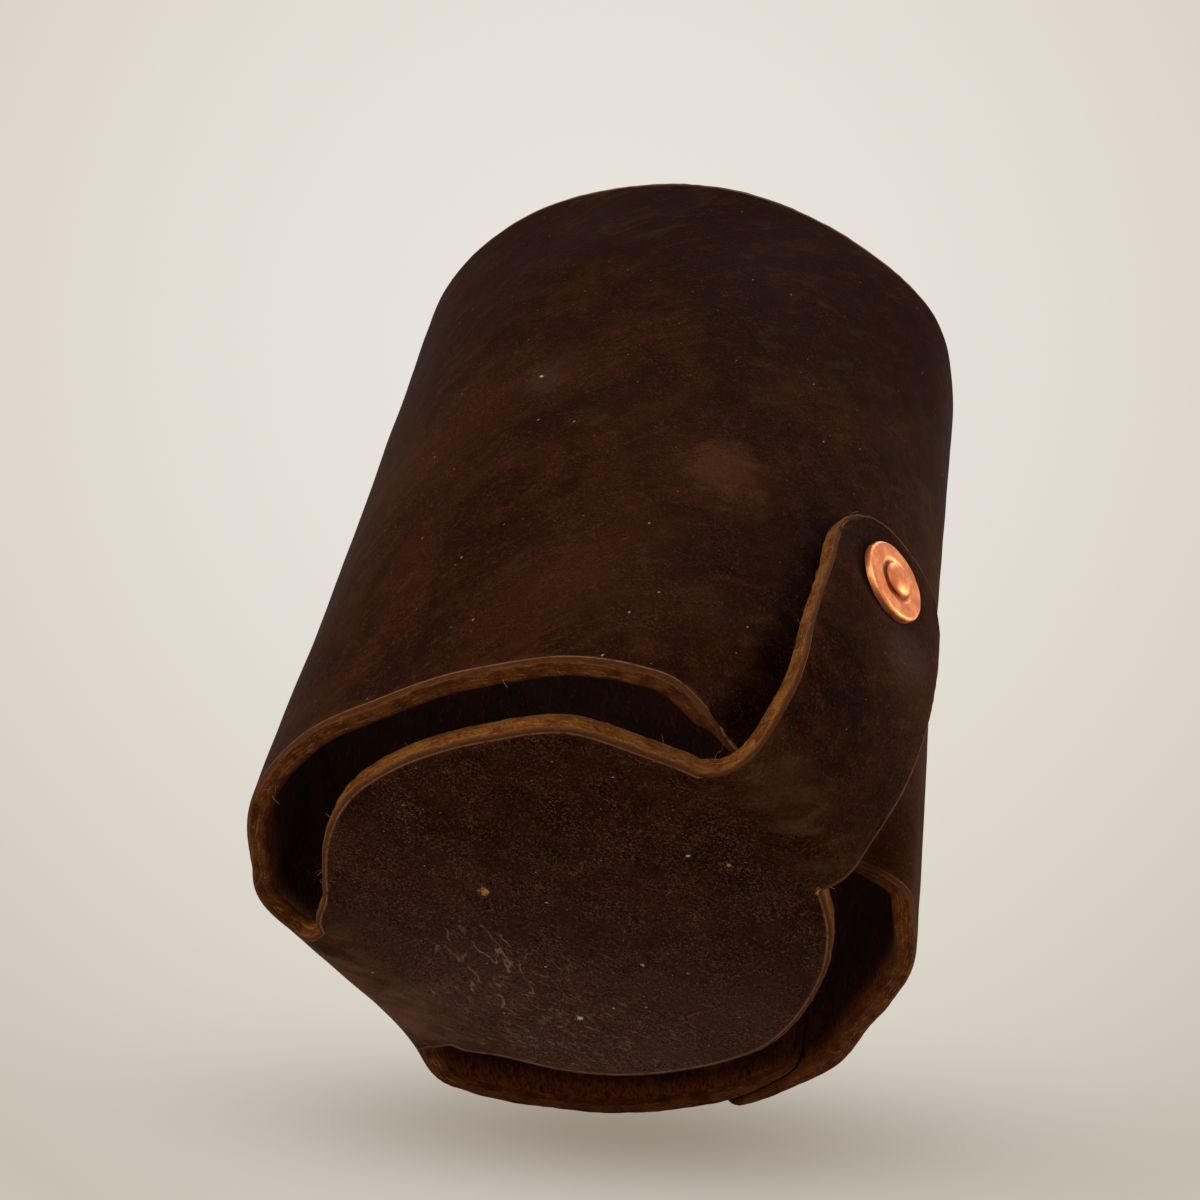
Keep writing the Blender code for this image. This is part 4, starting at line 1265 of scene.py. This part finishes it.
class Shading:
    """The node tree of a material or of the world, with short calls for what they share."""

    def __init__(self, owner):
        owner.use_nodes = True
        self.owner = owner
        self.tree = owner.node_tree
        self.shader = self.tree.nodes.get("Principled BSDF")

    def node(self, kind, **settings):
        made = self.tree.nodes.new(kind)
        for key, value in settings.items():
            setattr(made, key, value)
        return made

    def feed(self, socket, value):
        """Link an output to a socket, or set the socket to a number, vector or colour."""
        if isinstance(value, bpy.types.NodeSocket):
            self.tree.links.new(value, socket)
        elif socket.type == "RGBA":
            socket.default_value = (*value, 1.0)
        else:
            socket.default_value = value

    def fill(self, node, values):
        """Feed a node's sockets, by a table of their names or else in their order."""
        pairs = values.items() if isinstance(values, dict) else enumerate(values)
        for key, value in pairs:
            self.feed(node.inputs[key], value)
        return node

    def attribute(self, name, output="Fac"):
        return self.node("ShaderNodeAttribute", attribute_name=name).outputs[output]

    def parts(self, vector):
        """The three numbers of a vector or colour."""
        return self.fill(self.node("ShaderNodeSeparateXYZ"), (vector,)).outputs

    def math(self, operation, first, second=0.0, clamp=False):
        made = self.node("ShaderNodeMath", operation=operation, use_clamp=clamp)
        return self.fill(made, (first, second)).outputs[0]

    def plus(self, first, second, clamp=False):
        return self.math("ADD", first, second, clamp)

    def times(self, first, *further):
        """The product of its values."""
        for value in further:
            first = self.math("MULTIPLY", first, value)
        return first

    def total(self, weights, *patterns):
        """The first weight, plus each pattern by its own weight."""
        result, *further = weights
        for pattern, weight in zip(patterns, further):
            result = self.plus(result, self.times(pattern, weight))
        return result

    def vector_math(self, operation, *vectors):
        """The vector, or for a measure the number, that comes from one or two vectors."""
        made = self.fill(self.node("ShaderNodeVectorMath", operation=operation), vectors)
        return made.outputs["Vector" if operation == "MULTIPLY" else "Value"]

    def step(self, value, start, end, low=0.0, high=1.0):
        """A soft step of a value from start to end."""
        made = self.node("ShaderNodeMapRange", interpolation_type="SMOOTHSTEP")
        return self.fill(made, (value, start, end, low, high)).outputs[0]

    def stretched(self, vector, scale, turn=0.0):
        """Coordinates turned about Z by an angle in degrees, then scaled."""
        turned = self.node("ShaderNodeVectorRotate", rotation_type="Z_AXIS")
        self.fill(turned, {"Vector": vector, "Angle": math.radians(turn)})
        return self.vector_math("MULTIPLY", turned.outputs[0], scale)

    def noise(self, vector, length, detail=2.0, roughness=0.5, distortion=0.0, stretch=None, turn=0.0):
        """Noise between 0 and 1, by the length of its swells in millimetres."""
        if stretch:
            vector = self.stretched(vector, stretch, turn)
        settings = {
            "Vector": vector,
            "Scale": 1.0 / length,
            "Detail": detail,
            "Roughness": roughness,
            "Distortion": distortion,
        }
        return self.fill(self.node("ShaderNodeTexNoise"), settings).outputs[0]

    def specks(self, vector, spacing, radius, share):
        """Small round specks, one at most in each cell, in a share of the cells."""
        cells = self.node("ShaderNodeTexVoronoi")
        self.fill(cells, {"Vector": vector, "Scale": 1.0 / spacing})
        inside = self.step(cells.outputs["Distance"], radius / spacing, HALF * radius / spacing)
        chosen = self.math("LESS_THAN", self.parts(cells.outputs["Color"])[0], share)
        return self.times(inside, chosen)

    def scratches(self, vector, length, width, share, strength):
        """Thin wandering lines, broken up so that they show in a share of the surface."""
        ridge = self.math("ABSOLUTE", self.plus(self.noise(vector, length, SCRATCH_DETAIL), -HALF))
        breaks = self.noise(vector, length * BREAK_LENGTH)
        shown = self.step(breaks, 1.0 - share, 1.0 - share + BREAK_FADE)
        return self.times(self.step(ridge, width, 0.0, 0.0, strength), shown)

    def near(self, vector, centre, radius, ragged):
        """A soft patch round a spot of the flat piece, with a ragged border."""
        away = self.vector_math("DISTANCE", vector, (*centre, 0.0))
        torn = self.plus(self.times(ragged, radius * PATCH_TEAR), away)
        return self.step(torn, radius * PATCH_END, radius * PATCH_FULL)

    def mix(self, share, first, second):
        """A colour between two."""
        made = self.node("ShaderNodeMix", data_type="RGBA")
        return self.fill(made, {"Factor": share, "A": first, "B": second}).outputs["Result"]

    def lay(self, colour, tone, *shares):
        """A tone laid over a colour, as much as the product of the shares says."""
        return self.mix(self.times(*shares), colour, tone)

    def blend(self, share, first, second):
        """A surface between two."""
        return self.fill(self.node("ShaderNodeMixShader"), (share, first, second)).outputs[0]

    def relief(self, *layers):
        """Bumps laid over each other, each with its pattern, depth in millimetres and strength."""
        normal = None
        for height, depth, strength in layers:
            bump = self.node("ShaderNodeBump")
            self.fill(bump, {"Strength": strength, "Distance": depth * MM, "Height": height})
            if normal is not None:
                self.feed(bump.inputs["Normal"], normal)
            normal = bump.outputs[0]
        return normal

    def finish(self, values):
        """Set the shader's sockets, and return the material."""
        self.fill(self.shader, values)
        return self.owner


def new_look(name):
    return Shading(bpy.data.materials.new(name))


def grain_material():
    """The waxed outer face: near black brown, clouded, speckled, scuffed and worn at its edges."""
    look = new_look("waxed_leather_grain")
    flat = look.attribute("flat", "Vector")
    spot = look.stretched(flat, (1.0, 1.0, 0.0))
    along = look.parts(flat)[1]
    rim = look.attribute("rim")
    bend = look.attribute("bend")
    clouds = look.noise(flat, *GRAIN_CLOUDS)
    patches = look.noise(flat, *GRAIN_BLOOM)
    streaks = look.noise(flat, *GRAIN_STREAKS)
    speckle = look.noise(flat, *GRAIN_GRIT)
    # Painted shade: the sleeve darker towards its top, with fewer dots there
    shaded_top = look.step(along, *TOP_SHADE_REGION)
    off_strap = look.step(along, *OFF_STRAP)
    on_disc = look.times(look.step(along, *BASE_REGION), off_strap)

    broad = look.total(BROAD_SUM, clouds, patches, shaded_top)
    colour = look.mix(look.step(broad, *CLOUD_MASK), GRAIN_DARK, GRAIN_LIGHT)
    colour = look.lay(colour, GRAIN_WARM, look.step(streaks, *STREAK_MASK))
    # Some patches are painted shade: beside the strap, round its burr and near the sleeve's top
    for centre, radius, share, tone in GRAIN_PATCHES:
        colour = look.lay(colour, tone, look.near(spot, centre, radius, patches), share)

    greyed = look.step(look.vector_math("DOT_PRODUCT", flat, GREY_DIRECTION), *GREY_FADE)
    off_sleeve = look.step(along, *OFF_SLEEVE)
    clouded = look.step(patches, *GREY_MASK)
    colour = look.lay(colour, GRAIN_GREY, greyed, off_sleeve, off_strap, clouded)
    uneven = look.step(look.noise(flat, *GRAIN_UNEVEN), *UNEVEN_MASK)
    amount = look.times(look.total(DOTS_SUM, on_disc, shaded_top), uneven)
    dots = look.mix(on_disc, GRAIN_SPECKLE, GRAIN_DOTS)
    colour = look.lay(colour, dots, look.step(speckle, *SPECKLE_MASK), amount)
    blotches = look.step(look.noise(flat, *GRAIN_BLOTCHES), *BLOTCH_MASK)
    colour = look.lay(colour, GRAIN_SPECKLE, blotches, amount)
    more = look.plus(amount, PORES_MORE)
    colour = look.lay(colour, GRAIN_PORE_AND_SHADE, look.step(speckle, *PORE_MASK), more)

    lines = look.scratches(look.stretched(flat, *CREASE_STRETCH), *CREASE_LINES)
    creased = look.near(spot, CREASE_CENTRE, CREASE_RADIUS, patches)
    colour = look.lay(colour, GRAIN_SCRATCH, lines, creased)
    threads = look.step(look.noise(flat, *GRAIN_THREADS), *THREAD_MASK)
    hazed = look.near(spot, HAZE_CENTRE, HAZE_RADIUS, patches)
    colour = look.lay(colour, GRAIN_SCRATCH, threads, hazed)
    hairlines = look.scratches(look.stretched(flat, *HAIRLINE_STRETCH), *HAIRLINES)
    colour = look.lay(colour, GRAIN_SCRATCH, hairlines)

    colour = look.lay(colour, GRAIN_WORN, bend, look.step(streaks, *WORN_MASK))
    torn = look.step(look.noise(flat, *EDGE_TEAR), *EDGE_MASK)
    colour = look.lay(colour, GRAIN_EDGE, look.step(rim, *EDGE_FADE), torn)
    rubbed = look.step(patches, *RUB_MASK)
    colour = look.lay(colour, GRAIN_WARM, look.step(rim, *RUB_FADE), rubbed)
    mark_tear = look.noise(flat, MARK_TEAR)
    for centre, radius, tone in GRAIN_SMALL_MARKS:
        small_mark = look.near(spot, centre, radius, mark_tear)
        colour = look.lay(colour, tone, small_mark, SMALL_MARKS_SHOWN)
    # Pale specks, more of them on the base
    pale_speck_amount = look.total(PALE_SPECK_SUM, on_disc)
    for stretch, turn, spacing, radius, share, strength in GRAIN_SPECKS:
        pale_specks = look.specks(look.stretched(flat, stretch, turn), spacing, radius, share)
        colour = look.lay(colour, GRAIN_PALE_SPECK, pale_specks, pale_speck_amount, strength)

    wrinkles = look.times(look.noise(flat, *GRAIN_WRINKLES), bend)
    pores = look.noise(flat, *GRAIN_PORES)
    return look.finish({
        "Base Color": colour,
        "Roughness": look.total(GRAIN_ROUGH, clouds, speckle),
        "Specular IOR Level": 0.009,
        "Specular Tint": (0.9, 0.55, 0.38),
        "Sheen Weight": 0.035,
        "Sheen Roughness": 0.3,
        "Sheen Tint": (0.85, 0.56, 0.42),
        "Normal": look.relief(
            (patches, 0.25, 0.4), (wrinkles, 0.35, 0.9), (streaks, 0.08, 0.5),
            (speckle, 0.07, 0.8), (pores, 0.02, 0.7)),
    })


def flesh_material():
    """The inner face: dark red brown and fibrous."""
    look = new_look("leather_flesh")
    flat = look.attribute("flat", "Vector")
    fibres = look.noise(flat, *FLESH_FIBRES)
    clouds = look.noise(flat, *FLESH_CLOUDS)
    colour = look.mix(look.step(clouds, *FLESH_CLOUD_MASK), FLESH_DARK, FLESH_LIGHT)
    colour = look.lay(colour, FLESH_FIBRE, look.step(fibres, *FLESH_FIBRE_MASK))
    near_rim = look.step(look.attribute("rim"), *FLESH_RIM_FADE)
    colour = look.lay(colour, FLESH_FIBRE, near_rim, look.step(fibres, *FLESH_WORN_MASK))
    return look.finish({
        "Base Color": colour,
        "Roughness": look.total(FLESH_ROUGH, fibres),
        "Specular IOR Level": 0.03,
        "Specular Tint": (0.9, 0.6, 0.4),
        "Normal": look.relief((clouds, 0.3, 0.4), (fibres, 0.16, 0.9)),
    })


def cut_material():
    """The cut edge: burnished at the grain side, then reddish and golden fibres with dark pits."""
    look = new_look("leather_cut_edge")
    flat = look.attribute("flat", "Vector")
    layers = look.noise(flat, *CUT_LAYERS)
    fibres = look.noise(flat, *CUT_FIBRES)
    patches = look.noise(flat, *CUT_PATCHES)
    golden = look.step(look.parts(flat)[1], *GOLD_REGION)
    lighter = look.mix(golden, CUT_LIGHT, CUT_GOLD)
    darker = look.mix(golden, CUT_DARK, CUT_LIGHT)
    colour = look.mix(look.step(patches, *CUT_PATCH_MASK), darker, lighter)
    fibre_tone = look.mix(golden, CUT_FIBRE, CUT_GOLD_FIBRE)
    colour = look.lay(colour, fibre_tone, look.step(layers, *CUT_LAYER_MASK))
    colour = look.lay(colour, CUT_PIT, look.step(fibres, *CUT_PIT_MASK))
    torn = look.total(CUT_SUM, look.attribute("depth"), patches)
    burnished = look.step(torn, *BURNISH_END)
    colour = look.lay(colour, GRAIN_EDGE, look.step(torn, *BURNISH_START), burnished)
    colour = look.lay(colour, GRAIN_WARM, look.step(torn, *CUT_WARM_FADE))
    redder = look.math("SUBTRACT", STAIN_SHOWN, golden)
    colour = look.lay(colour, FLESH_LIGHT, look.step(torn, *CUT_STAIN_FADE), redder)
    return look.finish({
        "Base Color": colour,
        "Roughness": 0.75,
        "Specular IOR Level": 0.06,
        "Specular Tint": (0.9, 0.65, 0.45),
        "Normal": look.relief((patches, 0.2, 0.4), (layers, 0.12, 0.8), (fibres, 0.16, 0.9)),
    })


def fibre_material():
    """Loose fibres, golden and a little uneven along their length."""
    look = new_look("loose_leather_fibre")
    place = look.node("ShaderNodeTexCoord").outputs["Object"]
    length = look.noise(look.stretched(place, (1.0 / MM, 1.0 / MM, 1.0 / MM)), FIBRE_SWELL)
    return look.finish({
        "Base Color": look.mix(length, CUT_LIGHT, FIBRE_PALE),
        "Roughness": 0.6,
        "Specular IOR Level": 0.2,
        "Normal": look.relief((length, 0.02, 0.5)),
    })


def copper_material():
    """Polished copper with fine scratches, hammer marks and grime round the dome's foot."""
    look = new_look("polished_copper")
    turned = look.attribute("turned", "Vector")
    cloudy = look.noise(turned, *COPPER_CLOUDS)
    fine = look.noise(turned, *COPPER_LINES)
    colour = look.mix(look.step(cloudy, *COPPER_MASK), COPPER_DEEP, COPPER_PALE)
    from_foot = look.math("ABSOLUTE", look.plus(look.attribute("radius"), -DOME_FOOT / MM))
    grime = look.times(look.step(from_foot, *GRIME_FADE), look.step(cloudy, *GRIME_MASK))
    return look.finish({
        "Base Color": look.lay(colour, COPPER_GRIME, grime, GRIME_SHOWN),
        "Metallic": 1.0,
        "Roughness": look.total(COPPER_ROUGH, fine, grime),
        "Normal": look.relief((cloudy, 0.10, 0.5), (fine, 0.012, 0.6)),
    })


# Camera, floor, world and lamps

def add_camera():
    """The photo's viewpoint: below the base, on the strap's side."""
    camera = bpy.data.objects.new("camera", bpy.data.cameras.new("camera"))
    bpy.context.scene.collection.objects.link(camera)
    camera.data.lens = CAMERA_LENS
    camera.data.sensor_width = CAMERA_SENSOR
    camera.data.clip_start = CAMERA_CLIP
    turn = Matrix((CAMERA_RIGHT, -CAMERA_DOWN, -CAMERA_FORWARD)).transposed()
    camera.matrix_world = Matrix.Translation(CAMERA_PLACE) @ turn.to_4x4()
    bpy.context.scene.camera = camera


def add_floor():
    """A pale floor seen from above, and from below only a painted soft shadow near the sleeve."""
    mesh = bpy.data.meshes.new("floor")
    half = FLOOR_SIZE * HALF
    corners = [(-half, -half), (half, -half), (half, half), (-half, half)]
    mesh.from_pydata([(x, y, -FLOOR_DROP) for x, y in corners], [], [(0, 1, 2, 3)])
    look = new_look("pale_floor")
    place = look.node("ShaderNodeNewGeometry")
    level = look.stretched(place.outputs["Position"], (1.0, 1.0, 0.0))
    reach = look.vector_math("LENGTH", level)
    look.fill(look.shader, {
        "Base Color": FLOOR_COLOUR,
        "Roughness": 0.9,
        "Specular IOR Level": 0.0,
    })
    clear = look.node("ShaderNodeBsdfTransparent")
    faded = look.step(reach, FLOOR_FADE_START, FLOOR_FADE_END)
    above = look.blend(faded, look.shader.outputs[0], clear.outputs[0])

    # Painted shadow: a soft dark blob on the floor's underside, beside the sleeve's lower edge
    ahead, aside, _ = look.parts(look.stretched(level, (1.0, 1.0, 1.0), -SHADOW_AZIMUTH))
    outward = look.times(look.plus(ahead, -SHADOW_REACH), 1.0 / SHADOW_DEPTH)
    sideways = look.times(aside, 1.0 / SHADOW_WIDTH)
    squared = look.plus(look.times(outward, outward), look.times(sideways, sideways))
    blob = look.math("POWER", math.e, look.times(squared, -1.0))
    outside = look.step(reach, BASE_RADIUS + SHADOW_START, BASE_RADIUS + SHADOW_FULL)
    under = look.node("ShaderNodeBsdfTransparent")
    look.fill(under, {"Color": look.lay((1.0, 1.0, 1.0), SHADOW_TONE, blob, outside)})

    both = look.blend(place.outputs["Backfacing"], above, under.outputs[0])
    look.fill(look.tree.nodes["Material Output"], {"Surface": both})
    floor = show("floor", mesh, [look.owner])
    floor.visible_diffuse = False
    floor.visible_glossy = False
    floor.visible_transmission = False
    floor.visible_shadow = False


def add_world():
    """A pale backdrop with a soft gradient for the camera, and plain even light for the rest."""
    world = bpy.data.worlds.new("studio")
    bpy.context.scene.world = world
    look = Shading(world)
    facing = look.node("ShaderNodeTexCoord").outputs["Generated"]
    toward = look.vector_math("DOT_PRODUCT", facing, BRIGHT_DIRECTION)
    ramp = look.fill(look.node("ShaderNodeMapRange"), (toward, 1.0, BACKDROP_SPREAD))
    colours = look.fill(look.node("ShaderNodeValToRGB"), (ramp.outputs[0],))
    colours.color_ramp.elements[0].color = (*BACKDROP_CENTRE, 1.0)
    colours.color_ramp.elements[1].color = (*FLOOR_COLOUR, 1.0)
    middle = colours.color_ramp.elements.new(BACKDROP_STOP)
    middle.color = (*BACKDROP_CORNER, 1.0)

    rays = look.node("ShaderNodeLightPath").outputs
    seen = look.plus(rays["Is Camera Ray"], rays["Is Glossy Ray"])
    seen = look.plus(seen, rays["Is Transmission Ray"], True)
    colour = look.mix(seen, AMBIENT, colours.outputs[0])
    look.fill(look.tree.nodes["Background"], {"Color": colour})


def add_lamp(name, direction, distance, size, level, colour):
    """A soft square lamp that lights the object at a level, where 1 shows a colour as written."""
    lamp = bpy.data.lights.new(name, "AREA")
    lamp.size = size
    lamp.energy = level * math.pi ** 2 * distance ** 2
    lamp.color = colour
    holder = bpy.data.objects.new(name, lamp)
    bpy.context.scene.collection.objects.link(holder)
    toward = direction.normalized()
    holder.location = OBJECT_CENTRE + toward * distance
    holder.rotation_mode = "QUATERNION"
    holder.rotation_quaternion = toward.to_track_quat("Z", "Y")
    holder.visible_camera = False


def main():
    """The stage, then the leather and the copper that dents it."""
    add_camera()
    add_world()
    add_floor()
    for lamp in LAMPS:
        add_lamp(*lamp)
    solid = thicken(lay_out_sheet())
    copper = copper_material()
    for seed, place in enumerate(rivet_places()):
        press(solid, place)
        add_copper(place, seed, copper)
    add_leather(solid, [grain_material(), flesh_material(), cut_material()])
    add_hairs(solid, fibre_material())
    bpy.context.scene.view_settings.view_transform = "Standard"


main()
